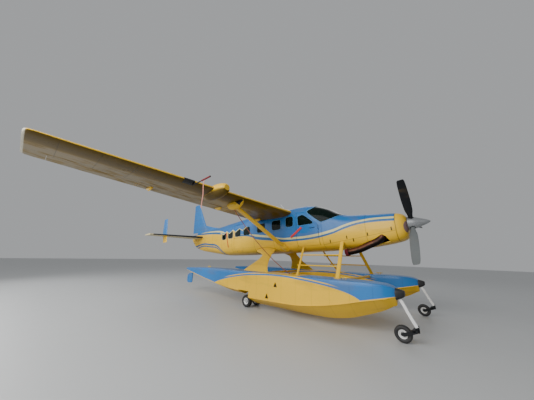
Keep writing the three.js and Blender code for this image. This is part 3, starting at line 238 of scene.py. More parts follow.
def eased(table: Sequence, at: Iterable[float]) -> Array:
    """Reads a table of sections between its rows, smoothly and without overshoot.

    Args:
        table: rows whose first column is the place along the piece.
        at: the places wanted.

    Returns:
        One row for each place.
    """
    table = np.asarray(table, float)
    x, y = table[:, 0], table[:, 1:]
    h = np.diff(x)[:, None]
    slope = np.diff(y, axis=0) / h
    tangent = np.vstack([slope[:1], np.zeros((len(x) - 2, y.shape[1])), slope[-1:]])
    a, b = slope[:-1], slope[1:]
    same = a * b > 0
    w = (h[1:] * 2 + h[:-1], h[1:] + 2 * h[:-1])
    safe_a, safe_b = np.where(same, a, 1.0), np.where(same, b, 1.0)
    tangent[1:-1] = np.where(same, (w[0] + w[1]) / (w[0] / safe_a + w[1] / safe_b), 0)
    rows = []
    for place in at:
        i = int(np.clip(np.searchsorted(x, place, "right") - 1, 0, len(x) - 2))
        t = (place - x[i]) / h[i, 0]
        u = 1 - t
        ends = y[i] * (1 + 2 * t) * u**2 + y[i + 1] * t**2 * (3 - 2 * t)
        row = ends + h[i, 0] * (tangent[i] * t * u**2 - tangent[i + 1] * t**2 * u)
        rows.append(np.concatenate([[place], row]))
    return np.array(rows)


def spaced(start: float, end: float, step: float) -> Array:
    """Even places from start to end, about a step apart."""
    return np.linspace(start, end, max(2, round(abs(end - start) / step) + 1))


def circle(count: int) -> Array:
    """Even angles round a circle."""
    return np.linspace(0, 2 * math.pi, count, endpoint=False)


def rounded(outline: Outline, radius: float, steps: int = 5) -> list[tuple[float, float]]:
    """Rounds the corners of a closed outline.

    Args:
        outline: its corners.
        radius: how far from a corner the curve starts, at most.
        steps: points in each curve, less one.

    Returns:
        The points of the rounded outline.
    """
    corners = np.asarray(outline, float)
    points = []
    for i, corner in enumerate(corners):
        before, after = corners[i - 1] - corner, corners[(i + 1) % len(corners)] - corner
        reach = min(radius, np.linalg.norm(before) * 0.48, np.linalg.norm(after) * 0.48)
        start = corner + before / np.linalg.norm(before) * reach
        end = corner + after / np.linalg.norm(after) * reach
        for t in np.linspace(0, 1, steps + 1):
            points.append(tuple(start * (1 - t) ** 2 + corner * 2 * t * (1 - t) + end * t**2))
    return points


def inset(outline: Outline, distance: float) -> list[tuple[float, float]]:
    """Moves every side of a closed outline inward.

    Args:
        outline: its corners.
        distance: how far; a negative one moves the sides outward.

    Returns:
        The corners of the new outline.
    """
    p = np.asarray(outline, float)
    before, after = p - np.roll(p, 1, 0), np.roll(p, -1, 0) - p
    u = before / np.linalg.norm(before, axis=1)[:, None]
    v = after / np.linalg.norm(after, axis=1)[:, None]
    area = np.sum(p[:, 0] * np.roll(p, -1, 0)[:, 1] - np.roll(p, -1, 0)[:, 0] * p[:, 1])
    m = np.stack([-u[:, 1] - v[:, 1], u[:, 0] + v[:, 0]], 1)
    scale = 2 * math.copysign(distance, area * distance) / np.sum(m * m, 1)
    return [tuple(q) for q in p + m * scale[:, None]]


def oblong(fore: float, aft: float, low: float, high: float) -> list[tuple[float, float]]:
    """The four corners of a side-view oblong."""
    return [(fore, low), (fore, high), (aft, high), (aft, low)]


def spread(outline: Outline, step: float) -> list[tuple[float, float]]:
    """Adds points between those of an open line, so that none are further apart than a step.

    Args:
        outline: the line's points.
        step: the widest gap that stays.

    Returns:
        The line with the added points.
    """
    made = []
    for (a, b), (c, d) in zip(outline, outline[1:]):
        count = max(1, math.ceil(math.hypot(c - a, d - b) / step))
        made += [(a + (c - a) * k / count, b + (d - b) * k / count) for k in range(count)]
    return made + [outline[-1]]


class Form:
    """Vertices and faces of a piece, gathered from lofts, tubes and turned shapes."""

    def __init__(self) -> None:
        """Starts with nothing in it."""
        self.points: list[Array] = []
        self.faces: list[list[int]] = []
        self.count = 0

    def add(self, points: Array, faces: Iterable[Sequence[int]]) -> "Form":
        """Adds a mesh.

        Args:
            points: its vertices.
            faces: its faces, counted from its own first vertex.

        Returns:
            This form.
        """
        flat = np.reshape(points, (-1, 3))
        self.faces += [[self.count + i for i in face] for face in faces]
        self.points.append(flat)
        self.count += len(flat)
        return self

    def loft(self, rings: Sequence, closed: bool = True, caps: bool = True) -> "Form":
        """Adds a skin over rings of points.

        Args:
            rings: (rings, points, 3) values.
            closed: whether each ring's last point joins its first.
            caps: whether the first and last ring are filled.

        Returns:
            This form.
        """
        rings = np.asarray(rings, float)
        m, n = rings.shape[:2]
        faces = [
            [i * n + j, i * n + (j + 1) % n, (i + 1) * n + (j + 1) % n, (i + 1) * n + j]
            for i in range(m - 1)
            for j in range(n if closed else n - 1)
        ]
        if caps:
            faces += [list(range(n))[::-1], [(m - 1) * n + j for j in range(n)]]
        return self.add(rings, faces)

    def tube(
        self, path: Sequence, radius: Union[float, Sequence[float]], sides: int = 16, flat: float = 1.0
    ) -> "Form":
        """Adds a round or flattened tube along a path.

        Args:
            path: its points in the row frame.
            radius: one radius, or one for each point.
            sides: points round it.
            flat: thickness across the first normal, as a share of the radius.

        Returns:
            This form.
        """
        path = np.asarray(path, float)
        radii = np.broadcast_to(np.asarray(radius, float), len(path))
        tangents = np.gradient(path, axis=0)
        tangents /= np.linalg.norm(tangents, axis=1)[:, None]
        first = np.array([0, 0, 1.0]) if abs(tangents[0][2]) < 0.9 else np.array([0, 1.0, 0])
        rings = []
        normal = first
        for p, t, r in zip(path, tangents, radii):
            normal = normal - t * (normal @ t)
            normal /= np.linalg.norm(normal)
            other = np.cross(t, normal)
            turn = circle(sides)[:, None]
            rings.append(p + r * (np.cos(turn) * normal * flat + np.sin(turn) * other))
        return self.loft(rings)

    def bar(self, start: Sequence[float], end: Sequence[float], radius: float, sides: int = 16) -> "Form":
        """Adds a round bar between the middles of its ends."""
        return self.tube([start, end], radius, sides)

    def turned(
        self, profile: Outline, start: Sequence[float], axis: Sequence[float], sides: int = 40
    ) -> "Form":
        """Adds a shape turned on a lathe.

        Args:
            profile: (radius, distance along the axis) points; it closes on itself if it ends where it starts.
            start: the point of the axis at distance 0.
            axis: its direction.
            sides: points round it.

        Returns:
            This form.
        """
        a = np.asarray(axis, float) / np.linalg.norm(axis)
        first = np.cross(a, [0, 0, 1.0] if abs(a[2]) < 0.9 else [0, 1.0, 0])
        first /= np.linalg.norm(first)
        other = np.cross(a, first)
        turn = circle(sides)[:, None]
        closed = np.allclose(profile[0], profile[-1])
        rows = profile[:-1] if closed else profile
        rings = [
            np.asarray(start) + a * t + max(r, 1e-4) * (np.cos(turn) * first + np.sin(turn) * other)
            for r, t in rows
        ]
        if closed:
            rings.append(rings[0])
        return self.loft(rings, caps=not closed)

    def slab(self, outline: Sequence, offset: Sequence[float]) -> "Form":
        """Adds a flat outline, in the row frame, pushed along a vector."""
        base = np.asarray(outline, float)
        return self.loft([base, base + np.asarray(offset, float)])

    def plate(self, outline: Outline, y: float, width: float) -> "Form":
        """Adds a side-view outline of (d, height) points, pushed across from y by a width."""
        return self.slab(stand([(d, y, z) for d, z in outline]), (0, width, 0))

    def rod(self, start: Sequence[float], end: Sequence[float], radius: float, sides: int = 16) -> "Form":
        """Adds a round bar between two places of d, y and height."""
        return self.bar(*stand([start, end]), radius, sides)

    def piece(self, name: str) -> Piece:
        """Makes an object of the form, its faces turned outward and doubled vertices merged.

        Args:
            name: the object's name.

        Returns:
            The object.
        """
        mesh = bpy.data.meshes.new(name)
        mesh.from_pydata(np.vstack(self.points).tolist(), [], self.faces)
        work = bmesh.new()
        work.from_mesh(mesh)
        bmesh.ops.remove_doubles(work, verts=work.verts, dist=1e-5)
        bmesh.ops.recalc_face_normals(work, faces=work.faces)
        work.to_mesh(mesh)
        work.free()
        piece = bpy.data.objects.new(name, mesh)
        bpy.context.scene.collection.objects.link(piece)
        return piece


class Cut(Enum):
    """What a tool does to a piece."""

    AWAY = "DIFFERENCE"
    KEEP = "INTERSECT"
    JOIN = "UNION"


def duplicate(piece: Piece) -> Piece:
    """Makes a second piece with the same mesh.

    Args:
        piece: the first one.

    Returns:
        The second one.
    """
    made = piece.copy()
    made.data = piece.data.copy()
    bpy.context.scene.collection.objects.link(made)
    return made


def shaped(piece: Piece, tool: Form, cut: Cut = Cut.AWAY) -> Piece:
    """Cuts a piece with a tool, or joins the tool to it.

    Args:
        piece: the piece; its mesh is replaced.
        tool: a closed form.
        cut: what the tool does.

    Returns:
        The piece.
    """
    blade = tool.piece("tool")
    step = piece.modifiers.new("step", "BOOLEAN")
    step.operation, step.solver, step.object = cut.value, "EXACT", blade
    result = bpy.data.meshes.new_from_object(piece.evaluated_get(bpy.context.evaluated_depsgraph_get()))
    result.name = piece.name
    piece.modifiers.clear()
    piece.data = result
    bpy.data.objects.remove(blade)
    return piece


Input = Union["Signal", float, Sequence[float]]
Colour = Union["Signal", Rgb]


class Signal:
    """A value, colour or vector inside a material, used in expressions."""

    def __init__(self, shader: "Shader", socket: bpy.types.NodeSocket) -> None:
        """Wraps a socket of a shader."""
        self.shader = shader
        self.socket = socket

    def _math(self, operation: str, *values: Input) -> "Signal":
        """A Math node on the values."""
        return self.shader.node("ShaderNodeMath", {"operation": operation}, values)

    def __add__(self, other: Input) -> "Signal":
        """self + other."""
        return self._math("ADD", self, other)

    def __sub__(self, other: Input) -> "Signal":
        """self - other."""
        return self._math("SUBTRACT", self, other)

    def __rsub__(self, other: Input) -> "Signal":
        """other - self."""
        return self._math("SUBTRACT", other, self)

    def __mul__(self, other: Input) -> "Signal":
        """self * other."""
        return self._math("MULTIPLY", self, other)

    def __truediv__(self, other: Input) -> "Signal":
        """self / other."""
        return self._math("DIVIDE", self, other)

    def __abs__(self) -> "Signal":
        """The size of self."""
        return self._math("ABSOLUTE", self)

    __radd__ = __add__
    __rmul__ = __mul__

    def root(self) -> "Signal":
        """The square root."""
        return self._math("SQRT", self)

    def over(self, edge: Input, soft: float = 0.004) -> "Signal":
        """1 where self is more than an edge, 0 where it is less, over a soft width.

        Args:
            edge: the edge.
            soft: the soft width.

        Returns:
            A signal from 0 to 1.
        """
        return self.shader.node(
            "ShaderNodeMapRange",
            {"interpolation_type": "SMOOTHSTEP"},
            {"Value": self - edge, "From Min": -soft / 2, "From Max": soft / 2},
        )

    def under(self, edge: Input, soft: float = 0.004) -> "Signal":
        """1 where self is less than an edge, 0 where it is more, over a soft width."""
        return 1 - self.over(edge, soft)

    def between(self, low: Input, high: Input, soft: float = 0.004) -> "Signal":
        """1 where self is between two edges."""
        return self.over(low, soft) * self.under(high, soft)

    def near(self, pitch: float, offset: float = 0.0) -> "Signal":
        """The distance to the nearest line of an even row of lines."""
        return abs(self._math("WRAP", self - offset, pitch / 2, -pitch / 2))

    def least(self, other: Input) -> "Signal":
        """The smaller of two values."""
        return self._math("MINIMUM", self, other)

    def most(self, other: Input) -> "Signal":
        """The larger of two values."""
        return self._math("MAXIMUM", self, other)


class Shader:
    """One material's nodes, written as expressions on signals."""

    def __init__(self, name: str) -> None:
        """Starts a material with its shader and its coordinates.

        Args:
            name: the material's name.
        """
        self.material = bpy.data.materials.new(name)
        self.material.use_nodes = True
        self.tree = self.material.node_tree
        self.surface = self.tree.nodes["Principled BSDF"]
        self.place = self.node("ShaderNodeTexCoord", output="Object")
        self.x, self.y, self.z = (
            self.node("ShaderNodeSeparateXYZ", inputs=[self.place], output=axis) for axis in "XYZ"
        )

    def node(
        self, kind: str, settings: Union[Mapping, None] = None, inputs: Union[Mapping, Sequence] = (),
        output: Union[int, str] = 0,
    ) -> Signal:
        """Adds a node.

        Args:
            kind: the node's type.
            settings: its settings, with "stops" for a ramp and "curve" for a float curve.
            inputs: values or signals of its sockets, by name or in order.
            output: the socket that is read.

        Returns:
            The signal of that socket.
        """
        made = self.tree.nodes.new(kind)
        for key, value in (settings or {}).items():
            if key == "stops":
                ramp = made.color_ramp
                while len(ramp.elements) < len(value):
                    ramp.elements.new(0.5)
                for element, (place, colour) in zip(ramp.elements, value):
                    element.position, element.color = place, (*colour, 1)
            elif key == "curve":
                points = made.mapping.curves[0].points
                while len(points) < len(value):
                    points.new(0.5, 0.5)
                for point, (a, b) in zip(points, value):
                    point.location = (a, b)
                    point.handle_type = "AUTO_CLAMPED"
                made.mapping.update()
            else:
                setattr(made, key, value)
        pairs = inputs.items() if isinstance(inputs, Mapping) else enumerate(inputs)
        for key, value in pairs:
            if isinstance(value, Signal):
                self.tree.links.new(value.socket, made.inputs[key])
            else:
                made.inputs[key].default_value = value
        return Signal(self, made.outputs[output])

    def mixed(self, factor: Input, low: Colour, high: Colour) -> Signal:
        """Mixes two colours.

        Args:
            factor: 0 for the first and 1 for the second.
            low: the first colour.
            high: the second colour.

        Returns:
            The mixed colour.
        """
        colours = [c if isinstance(c, Signal) else (*c, 1) for c in (low, high)]
        return self.node(
            "ShaderNodeMix", {"data_type": "RGBA"}, {0: factor, 6: colours[0], 7: colours[1]}, output=2
        )

    def shaded(self, colour: Colour, factor: Signal) -> Signal:
        """A colour multiplied by a grey factor.

        Args:
            colour: the colour.
            factor: the grey; 1 leaves the colour as it is.

        Returns:
            The shaded colour.
        """
        grey = self.node("ShaderNodeCombineColor", inputs=[factor, factor, factor])
        base = colour if isinstance(colour, Signal) else (*colour, 1)
        return self.node(
            "ShaderNodeMix", {"data_type": "RGBA", "blend_type": "MULTIPLY"}, {0: 1.0, 6: base, 7: grey},
            output=2,
        )

    def noise(self, scale: float, detail: float = 4.0, stretch: Rgb = (1, 1, 1)) -> Signal:
        """A noise value.

        Args:
            scale: how many waves fit in a metre.
            detail: how many finer layers it has.
            stretch: a factor for each axis.

        Returns:
            The signal, about 0.3 to 0.7.
        """
        place = self.place
        if stretch != (1, 1, 1):
            place = self.node("ShaderNodeVectorMath", {"operation": "MULTIPLY"}, [self.place, stretch])
        return self.node("ShaderNodeTexNoise", inputs={"Vector": place, "Scale": scale, "Detail": detail})

    def curve(self, value: Signal, points: Outline, span: tuple[float, float] = (-1, 3)) -> Signal:
        """Reads a smooth curve through points.

        Args:
            value: where to read.
            points: (place, value) pairs.
            span: the lowest and highest value that the curve may have.

        Returns:
            The curve's value.
        """
        start, end = points[0][0], points[-1][0]
        low, high = span
        scaled = [((a - start) / (end - start), (b - low) / (high - low)) for a, b in points]
        share = self.node("ShaderNodeMapRange", None, {"Value": value, "From Min": start, "From Max": end})
        return self.node("ShaderNodeFloatCurve", {"curve": scaled}, {"Value": share}) * (high - low) + low

    def facing(self, axis: str) -> Signal:
        """How far the surface faces along an axis, from -1 to 1."""
        normal = self.node("ShaderNodeTexCoord", output="Normal")
        return self.node("ShaderNodeSeparateXYZ", inputs=[normal], output=axis)

    def airframe(self) -> tuple[Signal, Signal]:
        """Station and height in the airframe's own frame.

        Returns:
            The station and the height.
        """
        u, w = NOSE_X - self.x, self.z - THRUST_HEIGHT
        c, n = math.cos(PITCH), math.sin(PITCH)
        return u * c - w * n, u * n + w * c

    def rivets(self, line: Signal, along: Signal, pitch: float = 0.05, size: float = 0.006) -> Signal:
        """Rivet heads beside a line.

        Args:
            line: distance to the line.
            along: place along it.
            pitch: distance between rivets.
            size: their radius.

        Returns:
            1 on a head.
        """
        a, b = abs(line - RIVET_ROW), along.near(pitch)
        return (a * a + b * b).root().under(size, size)

    def finish(
        self, colour: Colour, roughness: Union[Signal, float], bump: Union[Signal, None] = None,
        height: float = 0.002, **fixed: float,
    ) -> Material:
        """Joins the signals to the shader.

        Args:
            colour: base colour.
            roughness: roughness.
            bump: height of the surface, 0 to 1.
            height: what 1 is worth in metres.
            fixed: other sockets of the shader, by name with _ for a space.

        Returns:
            The material.
        """
        feeds = {"Base Color": colour, "Roughness": roughness}
        if bump is not None:
            feeds["Normal"] = self.node("ShaderNodeBump", None, {"Height": bump, "Distance": height})
        for key, value in feeds.items():
            if isinstance(value, Signal):
                self.tree.links.new(value.socket, self.surface.inputs[key])
            else:
                self.surface.inputs[key].default_value = (*value, 1) if key == "Base Color" else value
        for key, value in fixed.items():
            socket = self.surface.inputs[key.replace("_", " ")]
            if isinstance(value, Signal):
                self.tree.links.new(value.socket, socket)
            else:
                socket.default_value = value
        return self.material


def zigzag(s: Signal, z: Signal) -> tuple[Signal, Signal]:
    """The pale zigzag line that crosses the rear windows.

    Args:
        s: station.
        z: height in the airframe's frame.

    Returns:
        The line's height, and 1 on the line.
    """
    fore, aft, height, fall, tooth, first, steep = 6.65, 8.85, 0.743, 0.03, 0.52, 0.46, 0.5
    line = height - s * fall - s.near(tooth, first) * steep
    return line, abs(z - line).under(0.018, 0.012) * s.between(fore, aft)


YELLOW: Rgb = (0.80, 0.485, 0.028)
BLUE: Rgb = (0.028, 0.165, 0.44)
PALE: Rgb = (0.66, 0.60, 0.27)
NAVY: Rgb = (0.025, 0.12, 0.29)
GRIME: Rgb = (0.16, 0.11, 0.05)


@dataclass(frozen=True)
class Paint:
    """A gloss paint on sheet metal, with faint dirt and uneven gloss."""

    name: str
    colour: Rgb
    gloss: float = 0.32

    def worn(
        self, shader: Shader, colour: Colour, lines: Union[Signal, None] = None,
        rivets: Union[Signal, None] = None,
    ) -> Material:
        """Adds dirt, seams and rivets to a painted surface.

        Args:
            shader: its shader.
            colour: the paint's own colours.
            lines: 1 in a seam between sheets.
            rivets: 1 on a rivet's head.

        Returns:
            The material.
        """
        cloud = shader.noise(0.9, 6).over(0.5, 0.5)
        grain = shader.noise(24, 5)
        shade = 0.9 + 0.1 * cloud + 0.1 * (grain - 0.5)
        height = grain * 0.02
        if lines is not None:
            shade = shade * (1 - 0.55 * lines)
            height = height - lines
        if rivets is not None:
            shade = shade * (1 - 0.18 * rivets)
            height = height + rivets * 0.5
        streak = shader.noise(3.2, 5, (0.25, 1, 1)).over(0.62, 0.16) * 0.22
        dirty = shader.mixed(streak, shader.shaded(colour, shade), GRIME)
        roughness = self.gloss + 0.12 * streak + 0.1 * (cloud - 0.5)
        return shader.finish(
            dirty, roughness, height, 0.0015, Coat_Weight=0.06, Coat_Roughness=0.08, Specular_IOR_Level=0.2
        )

    def material(self) -> Material:
        """The paint in one colour."""
        return self.worn(Shader(self.name), self.colour)


@dataclass(frozen=True)
class HullPaint(Paint):
    """The fuselage's livery: blue above, a darker copy of the floats' blue that paints in shade, yellow below, and two
    thin stripes between that sweep aft.

    Upper, middle and lower are the stripes' edges and arcs the line round the tail's foot, as (s, z).
    Frames are the seams' stations, and collar is the oval seam round the rear strut's fairing.
    """

    # A darker copy of BLUE: painted shade for the dimmer light on the fuselage.
    blue: Rgb = (0.022, 0.135, 0.37)
    upper: tuple = (
        (0.8, 0.20), (0.96, 0.208), (1.31, 0.22), (1.73, 0.196), (2.19, 0.113), (2.69, -0.034),
        (3.22, -0.121), (3.82, -0.158), (4.52, -0.155), (5.28, 0.0), (6.03, 0.12), (6.45, 0.18), (6.9, 0.21),
        (7.53, 0.235), (8.1, 0.31), (8.5, 0.5), (9.0, 0.62), (11.87, 0.86),
    )
    middle: tuple = (
        (0.8, 0.135), (0.96, 0.143), (1.31, 0.16), (1.73, 0.137), (2.19, 0.045), (2.69, -0.113),
        (3.23, -0.204), (3.83, -0.229), (4.52, -0.21), (5.28, -0.078), (6.03, 0.035), (6.45, 0.14),
        (6.9, 0.2), (7.53, 0.225), (8.1, 0.29), (8.5, 0.43), (9.0, 0.54), (11.87, 0.80),
    )
    lower: tuple = (
        (0.8, 0.06), (0.97, 0.072), (1.31, 0.084), (1.74, 0.067), (2.2, -0.029), (2.7, -0.182),
        (3.24, -0.273), (3.84, -0.303), (4.52, -0.3), (5.28, -0.19), (6.03, -0.085), (6.45, 0.065),
        (6.9, 0.135), (7.53, 0.15), (8.1, 0.185), (8.5, 0.32), (9.0, 0.43), (11.87, 0.70),
    )
    arcs: tuple = ((8.4, -0.75), (8.58, -0.58), (9.18, -0.15), (10.0, -0.02), (10.91, 0.07), (11.99, -0.01))
    frames: tuple = (0.815, 1.62, 2.99, 5.1, 6.2, 7.8, 8.7, 9.7, 10.7, 11.6)
    collar: tuple = (5.62, 0.64, 0.66, 0.22)

    def material(self) -> Material:
        """The livery on the fuselage.

        Returns:
            The material.
        """
        shader = Shader(self.name)
        s, z = shader.airframe()
        rows = (self.upper, self.middle, self.lower)
        top, border, low = (shader.curve(s, row, (-1, 1)) for row in rows)
        stripe = z.under(border) * z.over(low)
        arc = shader.curve(s, self.arcs, (-1, 1))
        under = abs(z - arc)
        band = under.under(0.045) + abs(z - arc + 0.12).under(0.033)
        bowl, _, firewall = self.frames[:3]
        behind = s.over(bowl, 0.002)
        pale = z.between(border, top) * behind
        stripe = (stripe * behind + band * s.over(8.4, 0.1) * z.under(0.2, 0.01)).least(1.0)
        colour = shader.mixed(stripe, shader.mixed(pale, self.colour, PALE), NAVY)
        colour = shader.mixed(z.over(top) * behind, colour, self.blue)
        line, tooth = zigzag(s, z)
        low_half = z.between(low, line) * s.between(7.5, 8.75, 0.1)
        colour = shader.mixed(low_half, colour, self.colour)
        colour = shader.mixed(tooth, colour, PALE)
        distance = abs(s - bowl)
        for place in self.frames[1:]:
            distance = distance.least(abs(s - place))
        seams = distance.under(0.005, 0.005).most(z.near(0.55, 0.16).under(0.003, 0.003) * s.over(4.2) * 0.6)
        split = abs(z + 0.11 + 0.13 * s).under(0.006, 0.006) * s.between(bowl, firewall) * 0.8
        (fore, sill), aft = CREW_DOOR[0], CREW_DOOR[-1][0]
        door = abs(s - fore).under(0.009, 0.006) * z.between(sill, 0.2)
        door = door + abs(s - aft).under(0.009, 0.006) * z.between(sill, 0.74)
        middle, half, below, high = self.collar
        a, b = (s - middle) / half, (z + below) / high
        collar = abs((a * a + b * b).root() - 1).under(0.035, 0.03) * z.under(-0.2)
        seams = seams.most(split).most(door).most(collar).most(abs(s - bowl).under(0.011, 0.006))
        return self.worn(shader, colour, seams, shader.rivets(distance, z))


@dataclass(frozen=True)
class WingPaint(Paint):
    """Yellow wing skins with seams along ribs and spars and lines of rivets, and painted light on the faces that look
    down: painted shade, deepest near the outer leading edge, and pale grey streaks aft that are painted reflection
    with some wear.
    """

    def material(self) -> Material:
        """The wing's paint.

        Returns:
            The material.
        """
        shader = Shader(self.name)
        s, _ = shader.airframe()
        span = abs(shader.y)
        root, lead, chord, sweep, taper = 0.834, 4.235, 1.95, 0.0622, 0.1058
        share = (s - lead - (span - root) * sweep) / (chord - (span - root) * taper)
        ribs = span.near(0.66, 0.2)
        under = shader.facing("Z").under(-0.15, 0.5)
        spars = abs(share - 0.16).least(abs(share - 0.42)).least(abs(share - 0.66)) * 1.6
        seams = ribs.under(0.004, 0.004).most(spars.under(0.003, 0.004)) * share.between(0.03, 0.72)
        heads = shader.rivets(ribs, s).most(shader.rivets(spars, span))
        # Pale grey streaks aft on the faces that look down: painted reflection, with some wear.
        aft = share.over(0.34, 0.1) * under
        aft = aft * shader.noise(7, 6, (1, 0.25, 1)).over(0.44, 0.14) * span.over(1.6, 1.0)
        reflection_and_wear = shader.mixed(aft * 0.7, self.colour, (0.42, 0.40, 0.35))
        # Painted shade: faces that look down are darkened, most near the leading edge outboard, less where the pale
        # streaks lie.
        fore = (1 - share.over(0.3, 0.25)) * span.over(2.0, 2.0)
        painted_shade = shader.shaded(reflection_and_wear, 1 - (0.78 + 0.1 * fore) * under * (1 - 0.35 * aft))
        tip = shader.mixed(span.over(7.905, 0.02), painted_shade, (0.62, 0.58, 0.46))
        return self.worn(shader, tip, seams, heads)


@dataclass(frozen=True)
class FloatPaint(Paint):
    """The floats: yellow side panel and bottom, blue round it, and a thin yellow line in the blue."""

    blue: Rgb = BLUE
    panel: tuple = (
        (1.3, 0.70), (1.43, 0.79), (1.64, 0.89), (2.01, 0.98), (2.43, 1.04), (3.06, 1.10), (3.78, 1.14),
        (4.63, 1.12), (5.62, 1.02), (6.97, 0.74), (7.3, 0.62),
    )
    chine: tuple = (
        (0.5, 0.96), (0.75, 0.93), (1.0, 0.88), (1.4, 0.79), (1.9, 0.66), (2.5, 0.535), (3.3, 0.435),
        (5.15, 0.385), (5.7, 0.55), (6.3, 0.575), (7.8, 0.73), (9.5, 0.94), (10.1, 1.0),
    )

    def material(self) -> Material:
        """The livery on a float.

        Returns:
            The material.
        """
        shader = Shader(self.name)
        d, z = NOSE_X - shader.x, shader.z
        edge = shader.curve(d, self.panel, (0, 2))
        chine = shader.curve(d, self.chine, (0, 2))
        panel = z.under(edge) * d.between(1.3, 7.25)
        line = (z - edge).between(0.045, 0.075) * d.between(2.1, 6.4, 0.5)
        yellow = panel.most(z.under(chine)).most(line)
        colour = shader.mixed(yellow, self.blue, self.colour)
        ribs = d.near(0.52, 0.1)
        seams = ribs.under(0.004, 0.004).most(abs(z - 1.13).under(0.003, 0.003))
        return self.worn(shader, colour, seams * 0.4, shader.rivets(ribs, z) * 0.6)


@dataclass(frozen=True)
class TailPaint(Paint):
    """Blue fin and rudder, with seams and rivets along the ribs."""

    def material(self) -> Material:
        """The fin's paint.

        Returns:
            The material.
        """
        shader = Shader(self.name)
        s, z = shader.airframe()
        ribs = z.near(0.32, 0.1)
        return self.worn(shader, self.colour, ribs.under(0.003, 0.004), shader.rivets(ribs, s))


@dataclass(frozen=True)
class FinletPaint(Paint):
    """Finlets: blue above the tailplane and yellow below it."""

    def material(self) -> Material:
        """The finlets' paint.

        Returns:
            The material.
        """
        shader = Shader(self.name)
        _, z = shader.airframe()
        return self.worn(shader, shader.mixed(z.over(0.45), YELLOW, self.colour))


@dataclass(frozen=True)
class BladePaint(Paint):
    """Propeller blades: one face of each is black and the other is grey, a grey that is partly the face's own paint
    and partly painted reflection of the floor's light.
    """

    # Grey of the second face: partly its own paint, partly painted reflection.
    face: Rgb = (0.13, 0.14, 0.14)

    def material(self) -> Material:
        """The blades' paint.

        Returns:
            The material.
        """
        shader = Shader(self.name)
        across, up = shader.facing("Y"), shader.facing("Z")
        height = shader.z - THRUST_HEIGHT
        radius = (shader.y * shader.y + height * height).root()
        # 1 on the grey face: own paint with painted reflection.
        grey = (across * height - up * shader.y).over(0.0, 0.1) * radius.over(0.17, 0.02)
        return self.worn(shader, shader.mixed(grey, self.colour, self.face))


@dataclass(frozen=True)
class Rubber:
    """Rubber or matte plastic with a fine grain."""

    name: str
    colour: Rgb = (0.012, 0.012, 0.013)
    roughness: float = 0.62

    def material(self) -> Material:
        """The rubber.

        Returns:
            The material.
        """
        shader = Shader(self.name)
        grain = shader.noise(60, 5)
        dust = shader.noise(5, 5).over(0.55, 0.3)
        colour = shader.mixed(dust * 0.2, self.colour, (0.06, 0.056, 0.05))
        return shader.finish(colour, self.roughness + 0.2 * (grain - 0.5), grain, 0.0006)


@dataclass(frozen=True)
class BareMetal:
    """Metal with a brushed grain and stains, and a near-black that can be laid on the faces that look down: soot with
    painted shade.
    """

    name: str
    colour: Rgb
    stain: Rgb
    roughness: float = 0.3
    metallic: float = 1.0
    soot: float = 0.0

    def material(self) -> Material:
        """The metal.

        Returns:
            The material.
        """
        shader = Shader(self.name)
        grain = shader.noise(90, 4, (0.1, 1, 1))
        stains = shader.noise(4.5, 6).over(0.52, 0.25)
        colour = shader.mixed(stains, self.colour, self.stain)
        # Faces that look down go near-black: painted shade under the stack, with its soot.
        if self.soot:
            under = shader.facing("Z").under(0.1, 0.7)
            colour = shader.mixed(under * self.soot, colour, (0.004, 0.0035, 0.003))
        return shader.finish(
            colour, self.roughness + 0.25 * (grain - 0.5) + 0.1 * stains, grain, 0.0003,
            Metallic=self.metallic,
        )


@dataclass(frozen=True)
class Glass:
    """Dark tinted window plastic, nearly opaque, its darkness partly a tint and partly painted shade of the dim cabin
    behind it, with the film of the zigzag livery on the rear windows.
    """

    name: str
    # Near-black and nearly opaque: a tint, darkened further as painted shade of the cabin behind.
    colour: Rgb = (0.003, 0.008, 0.006)
    alpha: float = 0.988

    def material(self) -> Material:
        """The glass.

        Returns:
            The material.
        """
        shader = Shader(self.name)
        smear = shader.noise(6, 4)
        colour = shader.mixed(smear.over(0.6, 0.2) * 0.12, self.colour, (0.02, 0.03, 0.026))
        s, z = shader.airframe()
        line, pale = zigzag(s, z)
        blue = z.over(line) * s.between(6.95, 8.7)
        colour = shader.mixed(pale, shader.mixed(blue, colour, BLUE), PALE)
        alpha = (pale + blue + self.alpha).least(1.0)
        rough = 0.03 + 0.06 * smear + (pale + blue).least(1.0) * 0.3
        return shader.finish(colour, rough, Alpha=alpha, IOR=1.5, Specular_IOR_Level=0.05)


@dataclass(frozen=True)
class Cloth:
    """Woven cloth or webbing."""

    name: str
    colour: Rgb
    weave: float = 900.0

    def material(self) -> Material:
        """The cloth.

        Returns:
            The material.
        """
        shader = Shader(self.name)
        threads = shader.node(
            "ShaderNodeTexChecker", inputs={"Vector": shader.place, "Scale": self.weave}, output="Fac"
        )
        wear = shader.noise(14, 4)
        colour = shader.shaded(self.colour, 0.8 + 0.25 * wear + 0.08 * threads)
        return shader.finish(colour, 0.85, threads * 0.5 + wear, 0.0006)


